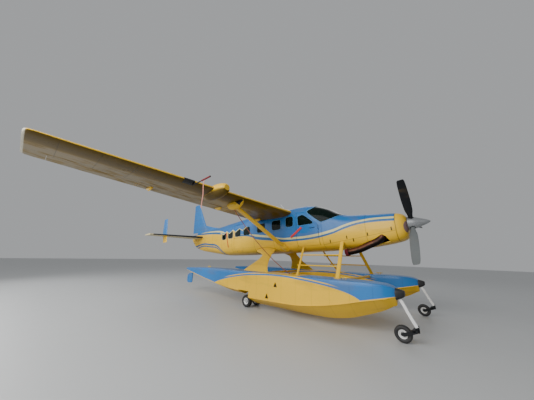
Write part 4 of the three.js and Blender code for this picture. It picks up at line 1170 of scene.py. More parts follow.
class Finishes:
    """Every finish of the aircraft, made once."""

    def __init__(self) -> None:
        """Makes the materials."""
        self.hull = HullPaint("hull_paint", YELLOW).material()
        self.wing = WingPaint("wing_paint", YELLOW).material()
        self.float = FloatPaint("float_paint", YELLOW).material()
        self.fin = TailPaint("fin_paint", BLUE).material()
        self.finlet = FinletPaint("finlet_paint", BLUE).material()
        self.yellow = Paint("yellow_paint", YELLOW).material()
        self.blue = Paint("blue_paint", BLUE).material()
        self.white = Paint("white_paint", (0.75, 0.75, 0.73)).material()
        self.grey = Paint("grey_paint", (0.12, 0.125, 0.13), 0.45).material()
        self.dark = Paint("dark_paint", (0.007, 0.008, 0.010), 0.4).material()
        self.blade = BladePaint("blade_paint", (0.007, 0.008, 0.010), 0.4).material()
        self.trim = Paint("trim_paint", (0.13, 0.32, 0.52)).material()
        self.pale = Paint("pale_paint", (0.62, 0.52, 0.27)).material()
        self.tyre = Rubber("tyre_rubber").material()
        self.rubber = Rubber("black_rubber", roughness=0.5).material()
        self.plastic = Rubber("panel_plastic", (0.02, 0.02, 0.022), 0.5).material()
        self.silver = BareMetal("spinner_metal", (0.42, 0.43, 0.44), (0.36, 0.37, 0.38), 0.3, 0.9).material()
        self.steel = BareMetal("bright_steel", (0.55, 0.56, 0.57), (0.4, 0.4, 0.4), 0.25).material()
        # The stack's metal, its lower faces near-black: painted shade, with soot.
        self.copper = BareMetal(
            "exhaust_metal", (0.12, 0.042, 0.018), (0.04, 0.015, 0.012), 0.4, 0.7, 0.93
        ).material()
        self.glass = Glass("window_glass").material()
        self.glass_plain = Rubber("light_glass", (0.006, 0.007, 0.008), 0.12).material()
        self.seat = Cloth("seat_cloth", (0.22, 0.19, 0.14)).material()
        self.red = Cloth("red_webbing", (0.52, 0.035, 0.03), 500).material()
        self.faded = Cloth("faded_webbing", (0.48, 0.20, 0.15), 500).material()
        self.strap = Cloth("strap_webbing", (0.27, 0.085, 0.05), 500).material()
        self.cover = Cloth("cover_cloth", (0.16, 0.008, 0.014), 500).material()
        self.plug = Cloth("plug_cloth", (0.17, 0.10, 0.10), 500).material()


@dataclass
class Assembly:
    """A group of pieces that are made and dressed together."""

    finishes: Finishes

    def dress(
        self, shape: Union[Form, Piece], name: str, finish: Material, slot: str, body: str = "airframe",
        replaces: Sequence[str] = (), sharp: float = 32.0, bevel: float = 0.0,
    ) -> Piece:
        """Names, smooths and paints a piece, and lets it ride on its body.

        Args:
            shape: a form or an object.
            name: the piece's name.
            finish: its material.
            slot: the record's material slot.
            body: the body that carries it.
            replaces: the nodes that it stands for.
            sharp: edges that turn by more than this many degrees stay sharp.
            bevel: width of the bevel on its sharp edges.

        Returns:
            The piece.
        """
        piece = shape.piece(name) if isinstance(shape, Form) else shape
        piece.name = name
        piece.data.materials.clear()
        piece.data.materials.append(finish)
        piece.data.shade_smooth()
        piece.data.set_sharp_from_angle(angle=math.radians(sharp))
        if bevel:
            edge = piece.modifiers.new("edge", "BEVEL")
            edge.width, edge.segments, edge.limit_method = bevel, 2, "ANGLE"
            edge.angle_limit = math.radians(sharp)
            edge.harden_normals = True
        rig.ride(piece, body)
        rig.slot(piece, slot)
        if replaces:
            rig.replaces(piece, *replaces)
        log.info("%s: %d faces on %s", name, len(piece.data.polygons), body)
        return piece


@dataclass
class Hull:
    """The fuselage's outer skin as a smooth table of sections.

    A row is the station, half width, top, bottom, the widest line's height, and how square it is above
    and below that line.
    """

    rows: tuple = (
        (0.56, 0.25, 0.165, -0.31, -0.06, 2.2, 2.4), (0.59, 0.33, 0.232, -0.4, -0.06, 2.4, 2.6),
        (0.66, 0.405, 0.29, -0.465, -0.05, 2.5, 2.8), (0.76, 0.448, 0.322, -0.505, -0.04, 2.6, 2.9),
        (1.2, 0.505, 0.372, -0.585, -0.03, 2.7, 3.0), (1.7, 0.57, 0.425, -0.64, 0.0, 2.8, 3.0),
        (2.2, 0.645, 0.475, -0.665, 0.02, 2.9, 3.1), (2.54, 0.7, 0.598, -0.672, 0.04, 3.2, 3.2),
        (2.9, 0.765, 0.81, -0.676, 0.07, 3.5, 3.4), (3.3, 0.805, 0.968, -0.68, 0.1, 3.5, 3.6),
        (3.7, 0.825, 1.052, -0.68, 0.13, 3.5, 3.8), (4.15, 0.83, 1.06, -0.68, 0.15, 3.8, 3.8),
        (6.35, 0.83, 1.06, -0.68, 0.15, 3.8, 3.8), (7.2, 0.8, 1.03, -0.68, 0.16, 3.4, 3.6),
        (7.85, 0.75, 0.995, -0.667, 0.17, 3.2, 3.5), (8.5, 0.7, 0.96, -0.655, 0.18, 3.0, 3.4),
        (8.7, 0.68, 0.945, -0.64, 0.18, 2.9, 3.2), (9.6, 0.55, 0.905, -0.53, 0.22, 2.6, 2.8),
        (10.6, 0.39, 0.86, -0.39, 0.27, 2.4, 2.5), (11.2, 0.28, 0.83, -0.3, 0.3, 2.3, 2.4),
        (12.1, 0.13, 0.77, -0.04, 0.38, 2.2, 2.2), (12.62, 0.045, 0.74, 0.38, 0.52, 2.1, 2.1),
    )
    sides: int = 88
    step: float = 0.075

    def ring(self, s: float, inward: float = 0.0) -> Array:
        """One section.

        Args:
            s: its station.
            inward: how far inside the skin it lies.

        Returns:
            Its points in the row frame.
        """
        _, half, top, low, waist, above, below = eased(self.rows, [s])[0]
        turn = (np.arange(self.sides) + 0.5) * 2 * math.pi / self.sides
        c, n = np.cos(turn), np.sin(turn)
        power = 2 / np.where(n > 0, above, below)
        reach = np.where(n > 0, top - waist, waist - low) - inward
        y = (half - inward) * np.sign(c) * np.abs(c) ** power
        z = waist + reach * np.sign(n) * np.abs(n) ** power
        return air(np.stack([np.full_like(y, s), y, z], 1))

    def solid(self, fore: float, aft: float, inward: float = 0.0, step: Union[float, None] = None) -> Form:
        """A closed length of the hull between two stations, a distance inside the skin."""
        return Form().loft([self.ring(s, inward) for s in spaced(fore, aft, step or self.step)])

    def width(self, s: float, z: float, inward: float = 0.0) -> float:
        """Half width of the skin at a station and height.

        Args:
            s: the station.
            z: the height.
            inward: how far inside the skin it is taken.

        Returns:
            The half width.
        """
        _, half, top, low, waist, above, below = eased(self.rows, [s])[0]
        power = above if z > waist else below
        reach = (top - waist if z > waist else waist - low) - inward
        share = min(1.0, abs(z - waist) / reach)
        return (half - inward) * (1 - share**power) ** (1 / power)

    def on(self, s: float, z: float, side: Side, out: float = 0.0) -> Array:
        """A point on the skin, or a little outside it."""
        return air([s, side.value * (self.width(s, z) + out), z])


HULL = Hull()
FIREWALL, TAIL_JOINT, NOSE_SEAM, TAIL_END = 2.54, 8.70, 0.81, 12.62
WALL, BULKHEAD = 0.045, 0.06
WINDOWS = (
    (4.295, 0.350, 0.390, 0.445), (4.945, 0.450, 0.390, 0.395), (5.780, 0.450, 0.380, 0.375),
    (6.670, 0.440, 0.375, 0.345), (7.310, 0.420, 0.365, 0.335), (7.900, 0.400, 0.345, 0.290),
    (8.460, 0.350, 0.330, 0.265),
)
CREW_DOOR = ((3.11, -0.5), (3.11, 0.19), (3.69, 0.735), (3.99, 0.735), (3.99, -0.5))
CREW_WINDOW = ((3.29, 0.253), (3.30, 0.33), (3.63, 0.605), (3.73, 0.64), (3.925, 0.59), (3.905, 0.236))
WINDSHIELD = (
    (2.26, 1.3), (2.26, 0.505), (2.32, 0.475), (2.41, 0.445), (2.50, 0.413), (2.67, 0.348), (2.87, 0.294),
    (3.005, 0.268), (3.22, 0.43), (3.36, 0.546), (3.48, 0.652), (3.54, 0.715), (3.525, 0.765), (3.475, 0.802),
    (3.39, 0.85), (3.33, 0.885), (3.33, 1.3),
)
SCREEN_ROUND, CREW_WINDOW_ROUND, DOOR_ROUND = 0.04, 0.06, 0.05


@dataclass(frozen=True)
class SideDoor:
    """A cabin door in an upper and a lower leaf, with the numbers of its windows and its pane's name."""

    name: str
    side: Side
    fore: float
    windows: tuple
    pane: str
    aft: float = 7.61
    sill: float = -0.5
    split: float = 0.085
    head: float = 0.70


SIDE_DOORS = (
    SideDoor("passenger_door", Side.RIGHT, 7.01, (4,), "passenger_door_pane"),
    SideDoor("cargo_door", Side.LEFT, 6.34, (3, 4), "cargo_door_panes"),
)


def window_outline(row: Sequence[float], shrink: float = 0.0) -> list[tuple[float, float]]:
    """A cabin window's rounded outline, from its middle, width and height.

    Args:
        row: its middle's station, width, height and its middle's height.
        shrink: how much less it reaches to each side.

    Returns:
        The outline's points.
    """
    s, width, height, z = row
    a, b = width / 2 - shrink, height / 2 - shrink
    return rounded(oblong(s - a, s + a, z - b, z + b), 0.105 - shrink, 6)


def through(outline: Outline, side: Side, near: float = 0.3, far: float = 1.2) -> Form:
    """Pushes a side-view outline through one side of the fuselage, between two distances from the middle."""
    return Form().loft([air([(s, side.value * y, z) for s, z in outline]) for y in (near, far)])


def together(forms: Iterable[Form]) -> Form:
    """Gathers forms that don't touch each other into one.

    Args:
        forms: the forms.

    Returns:
        One form.
    """
    made = Form()
    for form in forms:
        made.add(np.vstack(form.points), form.faces)
    return made


@dataclass
class SkinHinge:
    """Two knuckles just under the skin, each half on the fixed side and half on the door.

    Sweep is the groove's radius in the fixed skin and reach how far it runs past the knuckles.
    """

    start: Array
    end: Array
    sweep: float
    reach: float
    radius: float = 0.013
    pin: float = 0.006
    half: float = 0.02
    run: float = 0.006

    @property
    def along(self) -> Array:
        """The hinge line's direction."""
        return (self.end - self.start) / np.linalg.norm(self.end - self.start)

    def parts(self) -> tuple[Form, Form, Form, Form, Form]:
        """The knuckles and the room they need.

        Returns:
            Fixed knuckles, moving knuckles, rooms in the fixed side and in the door, and the pins' bores.
        """
        fixed, moving, room_fixed, room_moving, bores = (Form() for _ in range(5))
        along, h, r = self.along, self.half, self.radius
        for at in (self.start, self.end):
            fixed.bar(at - along * h * 2, at - along * 0.003, r)
            fixed.bar(at - along * h, at + along * h * 1.5, self.pin)
            moving.bar(at + along * 0.003, at + along * h * 2, r)
            bores.bar(at - along * 0.002, at + along * (h * 2 + 0.005), self.pin + 0.0008)
            room_fixed.bar(at, at + along * (h * 2 + self.run), r + self.run)
            room_moving.bar(at - along * (h * 2 + self.run), at, r + self.run)
        return fixed, moving, room_fixed, room_moving, bores

    def swept(self) -> Form:
        """The room that the door's outer edge needs in the fixed skin, along the rest of the hinge line.

        Returns:
            The bars to cut from the fixed skin.
        """
        along, clear = self.along, self.half * 2 + 0.002
        form = Form()
        for a, b in (
            (self.start - along * self.reach, self.start - along * clear),
            (self.start + along * (clear + 0.006), self.end - along * clear),
            (self.end + along * (clear + 0.006), self.end + along * self.reach),
        ):
            if (b - a) @ along > 0.004:
                form.bar(a, b, self.sweep)
        return form


HINGES = {
    "passenger_door_upper": ((7.13, -0.7488, 0.7), (7.49, -0.7161, 0.7), 0.019, 0.10),
    "passenger_door_lower": ((7.13, -0.6856, -0.5), (7.49, -0.6551, -0.5), 0.022, 0.10),
    "cargo_door_upper": ((6.594, 0.7813, 0.7), (7.356, 0.7293, 0.7), 0.0205, 0.22),
    "cargo_door_lower": ((6.342, 0.8262, -0.115), (6.342, 0.8263, 0.015), 0.0075, 0.06),
}


@dataclass
class Fuselage(Assembly):
    """Nose bowl, cowling, cabin shell, doors, windows and tail cone."""

    seam: float = 0.0052
    taper: float = 0.006
    pane: float = 0.008
    pane_inset: float = 0.003
    post: float = 0.012

    def __post_init__(self) -> None:
        """Sets out the hinge lines, named for the bodies that turn on them."""
        self.hinges = {name: SkinHinge(air(a), air(b), *sizes) for name, (a, b, *sizes) in HINGES.items()}
        for side in Side:
            y = side.value
            ends = air([(3.112, y * 0.7822, -0.09), (3.112, y * 0.7818, 0.125)])
            self.hinges[f"crew_door_{side.word}"] = SkinHinge(*ends, 0.015, 0.06)

    def build(self) -> None:
        """Makes the fuselage's pieces."""
        self.nose()
        wall = HULL.solid(FIREWALL + SEAT, TAIL_JOINT - SEAT).piece("wall")
        shaped(wall, HULL.solid(FIREWALL + BULKHEAD, TAIL_JOINT - BULKHEAD, WALL, 0.15))
        self.shell(duplicate(wall))
        self.doors(wall)
        bpy.data.objects.remove(wall)
        self.glazing()
        self.rims()
        cone = HULL.solid(TAIL_JOINT, TAIL_END, 0, 0.075).piece("tail_cone_skin")
        shaped(cone, HULL.solid(TAIL_JOINT - 0.05, 11.7, 0.02, 0.2))
        shaped(cone, Tail(self.finishes).slot())
        self.dress(cone, "tail_cone_skin", self.finishes.hull, "blue_paint", replaces=["tail_cone"])

    def screens(self, gap: float = 0.0) -> list[Form]:
        """The windshield's opening on each side of its post, or its panes with a gap round them."""
        outline = rounded(inset(WINDSHIELD, gap) if gap else WINDSHIELD, SCREEN_ROUND)
        return [through(outline, side, self.post + gap) for side in Side]

    def nose(self) -> None:
        """Makes the nose bowl with its inlets, and the cowling with the room for the stack."""
        f = self.finishes
        bowl = HULL.solid(0.56, NOSE_SEAM - SEAT, 0, 0.012).piece("nose_bowl_skin")
        shaped(bowl, HULL.solid(0.61, NOSE_SEAM + 0.05, 0.022, 0.03))
        turn = circle(40)
        inlets = Form()
        for side in (-1, 1):
            oval = [(side * 0.262 + 0.12 * math.cos(a), -0.125 + 0.165 * math.sin(a)) for a in turn]
            inlets.loft([air([(s, y, z) for y, z in oval]) for s in (0.46, 0.72)])
        shaped(bowl, inlets)
        shaped(bowl, Form().bar(air([0.4, 0, 0]), air([0.7, 0, 0]), 0.095, sides=40))
        self.dress(bowl, "nose_bowl_skin", f.hull, "yellow_paint", replaces=["nose_bowl"])
        cowl = HULL.solid(NOSE_SEAM, FIREWALL - SEAT, 0, 0.05).piece("cowling_skin")
        shaped(cowl, HULL.solid(NOSE_SEAM - 0.05, FIREWALL + 0.05, 0.014, 0.1))
        shaped(cowl, Exhaust(f).tool())
        notch = rounded([(1.04, -0.68), (1.04, -0.50), (1.12, -0.345), (1.25, -0.34), (1.85, -0.69)], 0.03)
        shaped(cowl, Form().loft([air([(s, y, z) for s, z in notch]) for y in (-0.58, -0.30)]))
        shaped(cowl, together(self.screens()))
        self.dress(cowl, "cowling_skin", f.hull, "yellow_paint", replaces=["cowling"])

    def shell(self, shell: Piece) -> None:
        """Cuts the cabin's shell out of a wall, and makes the fixed knuckles of its doors.

        Args:
            shell: the wall, which becomes the shell.
        """
        holes = self.screens()
        for door in SIDE_DOORS:
            side = door.side
            holes.append(through(rounded(CREW_DOOR, DOOR_ROUND), side))
            fixed = [row for i, row in enumerate(WINDOWS) if i not in door.windows]
            holes += [through(window_outline(row), side) for row in fixed]
        for door in SIDE_DOORS:
            corners = rounded(oblong(door.fore, door.aft, door.sill, door.head), DOOR_ROUND)
            holes.append(through(corners, door.side))
        shaped(shell, together(holes))
        parts = [h.parts() for h in self.hinges.values()]
        shaped(shell, together(p[2] for p in parts))
        shaped(shell, together(h.swept() for h in self.hinges.values()))
        self.dress(shell, "cabin_shell_skin", self.finishes.hull, "blue_paint", replaces=["cabin_shell"])
        self.dress(together(p[0] for p in parts), "door_knuckles", self.finishes.grey, "grey_metal")

    def doors(self, wall: Piece) -> None:
        """Makes the crew doors with their panes, and the leaves of the side doors, out of the wall.

        Args:
            wall: the cabin's wall, which is left whole.
        """
        for side in Side:
            name = f"crew_door_{side.word}"
            self.leaf(wall, name, CREW_DOOR, side, [rounded(CREW_WINDOW, CREW_WINDOW_ROUND)])
            pane = rounded(inset(CREW_WINDOW, SEAT), CREW_WINDOW_ROUND)
            self.panes([pane], side, f"crew_pane_{side.word}", name, [f"crew_door_glass_{side.word}"])
        for door in SIDE_DOORS:
            aft = door.aft - self.taper
            upper = oblong(door.fore, aft, door.split, door.head)
            lower = oblong(door.fore, aft, door.sill, door.split)
            windows = [window_outline(WINDOWS[i]) for i in door.windows]
            self.leaf(wall, f"{door.name}_upper", upper, door.side, windows)
            self.leaf(wall, f"{door.name}_lower", lower, door.side, [])

    def leaf(self, wall: Piece, name: str, outline: Outline, side: Side, windows: Sequence) -> None:
        """Makes a door out of the wall.

        Args:
            wall: the wall.
            name: the door's name, which its body, its hinge and its node have too.
            outline: its hole's corners.
            side: the side it is on.
            windows: outlines of its windows.
        """
        piece = duplicate(wall)
        _, knuckles, _, room, bores = self.hinges[name].parts()
        shaped(piece, through(rounded(inset(outline, self.seam), DOOR_ROUND), side), Cut.KEEP)
        if windows:
            shaped(piece, together(through(w, side) for w in windows))
        shaped(piece, room)
        shaped(piece, knuckles, Cut.JOIN)
        shaped(piece, bores)
        slot = "yellow_paint" if "lower" in name else "blue_paint"
        self.dress(piece, name + "_skin", self.finishes.hull, slot, name, [name])

    def panes(self, outlines: Sequence, side: Side, name: str, body: str, replaces: Sequence[str]) -> None:
        """Makes the glass of some windows on one side.

        Args:
            outlines: the panes' outlines.
            side: the side.
            name: the piece's name.
            body: the body that carries it.
            replaces: the nodes it stands for.
        """
        low = min(s for o in outlines for s, _ in o) - 0.05
        high = max(s for o in outlines for s, _ in o) + 0.05
        self.sheet(low, high, name, [through(o, side) for o in outlines], body, replaces)

    def sheet(
        self, low: float, high: float, name: str, tools: Sequence, body: str, replaces: Sequence
    ) -> None:
        """Makes glass that follows the hull just under its skin.

        Args:
            low: its front station.
            high: its back station.
            name: the piece's name.
            tools: the forms that it is kept in.
            body: the body that carries it.
            replaces: the nodes it stands for.
        """
        glass = HULL.solid(low, high, self.pane_inset, 0.05).piece(name)
        shaped(glass, HULL.solid(low - 0.1, high + 0.1, self.pane_inset + self.pane, 0.05))
        shaped(glass, together(tools), Cut.KEEP)
        self.dress(glass, name, self.finishes.glass, "window_glass", body, replaces)

    def glazing(self) -> None:
        """Makes the cabin's panes, the side doors' panes and the windshield."""
        outlines = [window_outline(row, SEAT) for row in WINDOWS]
        for door in SIDE_DOORS:
            word = door.side.word
            fixed = [o for i, o in enumerate(outlines) if i not in door.windows]
            nodes = [f"glazing_fore_{word}", f"glazing_aft_{word}"]
            self.panes(fixed, door.side, f"panes_{word}", "airframe", nodes)
        for door in SIDE_DOORS:
            moving = [outlines[i] for i in door.windows]
            self.panes(moving, door.side, door.pane, f"{door.name}_upper", [f"{door.name}_glass"])
        self.sheet(2.2, 3.9, "windshield_panes", self.screens(SEAT), "airframe", ["windshield"])

    def rims(self) -> None:
        """Thin seals round the windows and the windshield."""
        bodies = ("airframe", "crew_door_right", "crew_door_left", "passenger_door_upper", "cargo_door_upper")
        groups = {body: Form() for body in bodies}
        for door in SIDE_DOORS:
            side = door.side
            for i, row in enumerate(WINDOWS):
                body = f"{door.name}_upper" if i in door.windows else "airframe"
                self.rim(groups[body], window_outline(row, -0.004), side)
            self.rim(groups[f"crew_door_{side.word}"], rounded(CREW_WINDOW, CREW_WINDOW_ROUND), side)
            line = spread(rounded(WINDSHIELD, SCREEN_ROUND), 0.02)
            edge = [HULL.on(s, z, side, 0.001) for s, z in line if HULL.width(s, z) > 0.03]
            groups["airframe"].tube(edge, 0.012, 8, 0.5)
        for body, form in groups.items():
            self.dress(form, f"window_frames_{body}", self.finishes.trim, "blue_paint", body)

    def rim(self, form: Form, outline: Outline, side: Side) -> None:
        """Adds one seal, lying on the skin."""
        path = [HULL.on(s, z, side, 0.0005) for s, z in (*outline, outline[0])]
        form.tube(path, 0.011, 8, 0.5)


@dataclass
class Exhaust(Assembly):
    """The exhaust stack that leaves the cowling low on the right and runs aft under it."""

    path: tuple = (
        (1.33, -0.2265, -0.06), (1.25, -0.30, -0.20), (1.22, -0.385, -0.36), (1.33, -0.415, -0.475),
        (1.60, -0.425, -0.585), (1.93, -0.425, -0.705), (2.35, -0.425, -0.785),
    )
    radius: float = 0.1

    def line(self, steps: int = 40) -> Array:
        """Points along the stack's middle.

        Args:
            steps: how many points.

        Returns:
            The points in the row frame.
        """
        points = np.asarray(self.path)
        length = np.concatenate([[0], np.cumsum(np.linalg.norm(np.diff(points, axis=0), axis=1))])
        return air(eased(np.column_stack([length, points]), np.linspace(0, length[-1], steps))[:, 1:])

    def tool(self) -> Form:
        """The room that the stack needs in the cowling."""
        return Form().tube(self.line(), self.radius + 0.014, 24)

    def build(self) -> None:
        """Makes the stack and the cover in its end."""
        line = self.line()
        stack = Form().tube(line, self.radius, 28).piece("exhaust_pipe")
        inside = np.vstack([line[-8:], line[-1:] + (line[-1] - line[-2])])
        shaped(stack, Form().tube(inside, self.radius - 0.006, 28))
        self.dress(stack, "exhaust_pipe", self.finishes.copper, "exhaust_metal", replaces=["exhaust_stack"])
        profile = [
            (0.001, 0.035), (0.06, 0.034), (0.1, 0.022), (0.115, 0.0), (0.118, -0.05), (0.113, -0.085),
            (0.103, -0.085), (0.103, 0.003), (0.001, 0.008),
        ]
        cover = Form().turned(profile, line[-1], line[-1] - line[-2], 32)
        made = self.dress(cover, "exhaust_cover", self.finishes.cover, "seat_cloth", sharp=70)
        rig.padded(made, fill=0.4)


def thickness_at(x: Array, thickness: float) -> Array:
    """Half thickness of an aerofoil at a share of its chord."""
    shape = 0.2969 * np.sqrt(x) - 0.126 * x - 0.3516 * x**2 + 0.2843 * x**3 - 0.1015 * x**4
    return 5 * thickness * shape


@dataclass(frozen=True)
class Section:
    """An aerofoil section, drawn whole, or as the part before or behind a hinge."""

    chord: float
    thickness: float
    camber: float = 0.0
    hinge: float = 0.0
    gap: float = 0.013
    points: int = 26

    def line(self, x: Array) -> Array:
        """Height of the middle line."""
        return self.camber * 4 * x * (1 - x) * self.chord

    def surface(self, shares: Array, upper: int) -> Array:
        """Points of the upper (1) or lower (-1) skin."""
        half = thickness_at(shares, self.thickness) * self.chord
        return np.stack([shares * self.chord, self.line(shares) + upper * half], 1)

    def whole(self) -> Array:
        """The whole section, from the trailing edge over the top and back."""
        x = (1 - np.cos(np.linspace(0, math.pi, self.points))) / 2
        return np.vstack([self.surface(x[::-1], 1), self.surface(x[1:], -1)])

    def sleeve(self, share: float, out: float, points: int) -> Array:
        """A cover round the leading edge, back to a share of the chord and a little outside the skin."""
        x = share * np.linspace(1, 0, points) ** 2
        return np.vstack([self.surface(x, 1) + [-out, out], self.surface(x[::-1][1:], -1) + [-out, -out]])

    @property
    def nose(self) -> float:
        """Radius of the hinged part's round nose."""
        return float(thickness_at(np.array(self.hinge), self.thickness)) * self.chord * 0.985

    @property
    def centre(self) -> Array:
        """The hinge line's place in the section."""
        return np.array([self.hinge * self.chord, float(self.line(np.array(self.hinge)))])

    def fixed(self) -> Array:
        """The part ahead of the hinge, with a hollow for the nose behind it.

        Returns:
            The section's points.
        """
        radius = self.nose + self.gap
        fine = np.linspace(0, self.hinge, 1500)
        skins = []
        for upper in (1, -1):
            clear = np.linalg.norm(self.surface(fine, upper) - self.centre, axis=1) > radius
            end = fine[clear][-1]
            skins.append(self.surface(end * (1 - np.cos(np.linspace(0, math.pi / 2, self.points))), upper))
        top, low = skins
        a, b = (math.atan2(*(p - self.centre)[::-1]) % (2 * math.pi) for p in (top[-1], low[-1]))
        turn = np.linspace(a, b, 14)[1:-1]
        hollow = self.centre + radius * np.stack([np.cos(turn), np.sin(turn)], 1)
        return np.vstack([top[::-1], low[1:], hollow[::-1]])

    def moving(self) -> Array:
        """The part behind the hinge, with its round nose.

        Returns:
            The section's points.
        """
        x = np.linspace(self.hinge, 1, 14)
        turn = np.linspace(0.5 * math.pi, 1.5 * math.pi, 15)[1:-1]
        nose = self.centre + self.nose * np.stack([np.cos(turn), np.sin(turn)], 1)
        return np.vstack([self.surface(x[::-1], 1), nose, self.surface(x, -1)])


@dataclass
class Wing(Assembly):
    """One wing with its flap, aileron, lift strut and fittings, on each side."""

    root: tuple = (0.834, 4.235, 1.95, 0.824, 0.17)
    tip: tuple = (7.925, 4.676, 1.20, 1.194, 0.12)
    incidence: float = math.radians(2)
    camber: float = 0.022
    flap: tuple = (0.96, 5.74, 0.70)
    aileron: tuple = (5.80, 7.56, 0.76)
    bulb: tuple = (
        (4.42, 0.02, 0.86, 0.03), (4.52, 0.10, 0.845, 0.13), (4.8, 0.135, 0.80, 0.18),
        (5.08, 0.09, 0.81, 0.14), (5.24, 0.015, 0.85, 0.04),
    )
    # Corners of the dark patch on the bulb's front: painted shade of the gap at the strut's head.
    opening: tuple = ((4.84, 0.97), (4.40, 0.87), (4.54, 0.715))

    def row(self, span: float) -> Array:
        """Leading edge, chord, height and thickness at a span position."""
        t = (span - self.root[0]) / (self.tip[0] - self.root[0])
        return np.array(self.root[1:]) * (1 - t) + np.array(self.tip[1:]) * t

    def point(self, side: Side, span: float, aft: float, up: float) -> Array:
        """A point of the wing, from metres behind the leading edge and above the chord.

        Args:
            side: which wing.
            span: the place along the wing.
            aft: metres behind the leading edge.
            up: metres above the chord.

        Returns:
            The point in the row frame.
        """
        lead, _, height, _ = self.row(span)
        c, n = math.cos(self.incidence), math.sin(self.incidence)
        return air([lead + aft * c + up * n, side.value * span, height - aft * n + up * c])

    def ring(self, side: Side, span: float, part: str, hinge: float = 0.0, scale: float = 1.0) -> Array:
        """One section of the wing.

        Args:
            side: which wing.
            span: its place along the wing.
            part: whole, fixed or moving.
            hinge: the hinge's share of the chord.
            scale: its size, about the middle of the chord.

        Returns:
            Its points in the row frame.
        """
        _, chord, _, thickness = self.row(span)
        section = getattr(Section(chord, thickness, self.camber, hinge), part)()
        section = (section - [chord / 2, 0]) * scale + [chord / 2, 0]
        return np.array([self.point(side, span, a, b) for a, b in section])

    def panel(self, side: Side, start: float, end: float, part: str, hinge: float = 0.0) -> Form:
        """A length of wing."""
        return Form().loft([self.ring(side, span, part, hinge) for span in spaced(start, end, 0.6)])

    def build(self) -> None:
        """Makes both wings."""
        f = self.finishes
        for side in Side:
            word = side.word
            gap = 0.006
            tip = [
                self.ring(side, s, "whole", scale=k)
                for s, k in ((7.566, 1), (7.8, 1), (7.87, 0.985), (7.91, 0.95), (7.932, 0.9), (7.94, 0.84))
            ]
            skins = [
                self.panel(side, 0.735, self.flap[0] - gap, "whole"),
                self.panel(side, self.flap[0] - gap, self.flap[1] + gap, "fixed", self.flap[2]),
                self.panel(side, self.flap[1] + gap, self.aileron[0] - gap, "whole"),
                self.panel(side, self.aileron[0] - gap, self.aileron[1] + gap, "fixed", self.aileron[2]),
                Form().loft(tip),
            ]
            skin = together(skins)
            self.dress(skin, f"wing_skin_{word}", f.wing, "yellow_paint", replaces=[f"wing_{word}"])
            for name, (inner, outer, hinge) in (("flap", self.flap), ("aileron", self.aileron)):
                surface = self.panel(side, inner, outer, "moving", hinge)
                body = f"{name}_{word}"
                self.dress(surface, f"{name}_skin_{word}", f.wing, "yellow_paint", body, [body])
            self.strut(side)
        self.pod()

    def strut(self, side: Side) -> None:
        """Makes the lift strut with a fairing at each end.

        Args:
            side: which wing.
        """
        foot = air([4.59, side.value * 0.735, -0.52])
        head = air([4.93, side.value * 3.08, 0.83])
        length = np.linalg.norm(head - foot)
        along = (head - foot) / length
        aft = np.array([-1.0, 0, 0])
        aft = aft - along * (aft @ along)
        aft /= np.linalg.norm(aft)
        across = np.cross(along, aft)
        rows = [(-0.12, 1.35, 1.5), (0.06, 1.35, 1.5), (0.19, 1, 1)]
        rows += [(length - 0.3, 1, 1), (length - 0.12, 1, 1), (length - 0.04, 0.8, 1)]
        section = Section(0.25, 0.32).whole() - [0.1, 0]
        ends = spaced(-0.12, 0.3, 0.04), spaced(length - 0.34, length - 0.04, 0.04)
        places = np.concatenate([ends[0], spaced(0.4, length - 0.4, 0.4), ends[1]])
        rings = [
            foot + along * t + aft * (section[:, :1] * size) + across * (section[:, 1:] * size * fat)
            for t, size, fat in eased(rows, places)
        ]
        name = f"lift_strut_{side.word}"
        fairing = Form().loft(rings)
        self.dress(fairing, f"{name}_fairing", self.finishes.yellow, "yellow_paint", replaces=[name])
        self.cuff(side)
        self.brackets(side)

    def cuff(self, side: Side) -> None:
        """Makes the bulb over the strut's upper end, a dark patch on its front that paints the shade in the gap there,
        and the landing light.

        Args:
            side: which wing.
        """
        f, w = self.finishes, side.word

        def bulb(grow: float) -> Form:
            """The bulb, grown a little.

            Args:
                grow: how far its skin is moved outward.

            Returns:
                The closed form.
            """
            turn = circle(36)
            rings = []
            for s, half, z, high in eased(self.bulb, spaced(4.42, 5.24, 0.03)):
                y = side.value * (3.09 + (half + grow) * np.cos(turn))
                rings.append(air(np.stack([np.full(36, s), y, z + (high + grow) * np.sin(turn)], 1)))
            return Form().loft(rings)

        self.dress(bulb(0), f"strut_cuff_{w}", f.yellow, "yellow_paint")
        # A dark skin laid on the bulb's front: painted shade in the gap, not a hole.
        opening = bulb(0.003).piece("opening")
        shaped(opening, through(self.opening, side, 3.02, 3.4), Cut.KEEP)
        self.dress(opening, f"strut_cuff_opening_{w}", f.dark, "black_plastic")
        rings = []
        for span in spaced(4.78, 5.08, 0.06):
            _, chord, _, thick = self.row(span)
            nose = Section(chord, thick, self.camber).sleeve(0.085, 0.003, 12)
            rings.append(np.array([self.point(side, span, a, b) for a, b in nose]))
        self.dress(Form().loft(rings), f"landing_light_{w}", f.glass_plain, "window_glass")

    def brackets(self, side: Side) -> None:
        """Makes the small fairings under the flap's hinges, which move with the flap.

        Args:
            side: which wing.
        """
        form, w = Form(), side.word
        for span in (0.995, 3.05, 5.44):
            _, chord, _, thick = self.row(span)
            fore, length = self.flap[2] * chord + 0.06, 0.36
            rings = []
            for t in np.linspace(0, 1, 12):
                a = fore + length * t
                drop = 0.085 * math.sin(math.pi * (0.1 + 0.9 * t)) + 0.002
                top = float(Section(chord, thick, self.camber).surface(np.array([a / chord]), -1)[0, 1])
                low = drop * 0.7
                section = ((-1, 0.004), (-0.8, -low), (0, -drop), (0.8, -low), (1, 0.004))
                rings.append([self.point(side, span + u * 0.034, a, top + v) for u, v in section])
            form.loft(rings)
        self.dress(form, f"flap_fairings_{w}", self.finishes.yellow, "yellow_paint", f"flap_{w}")

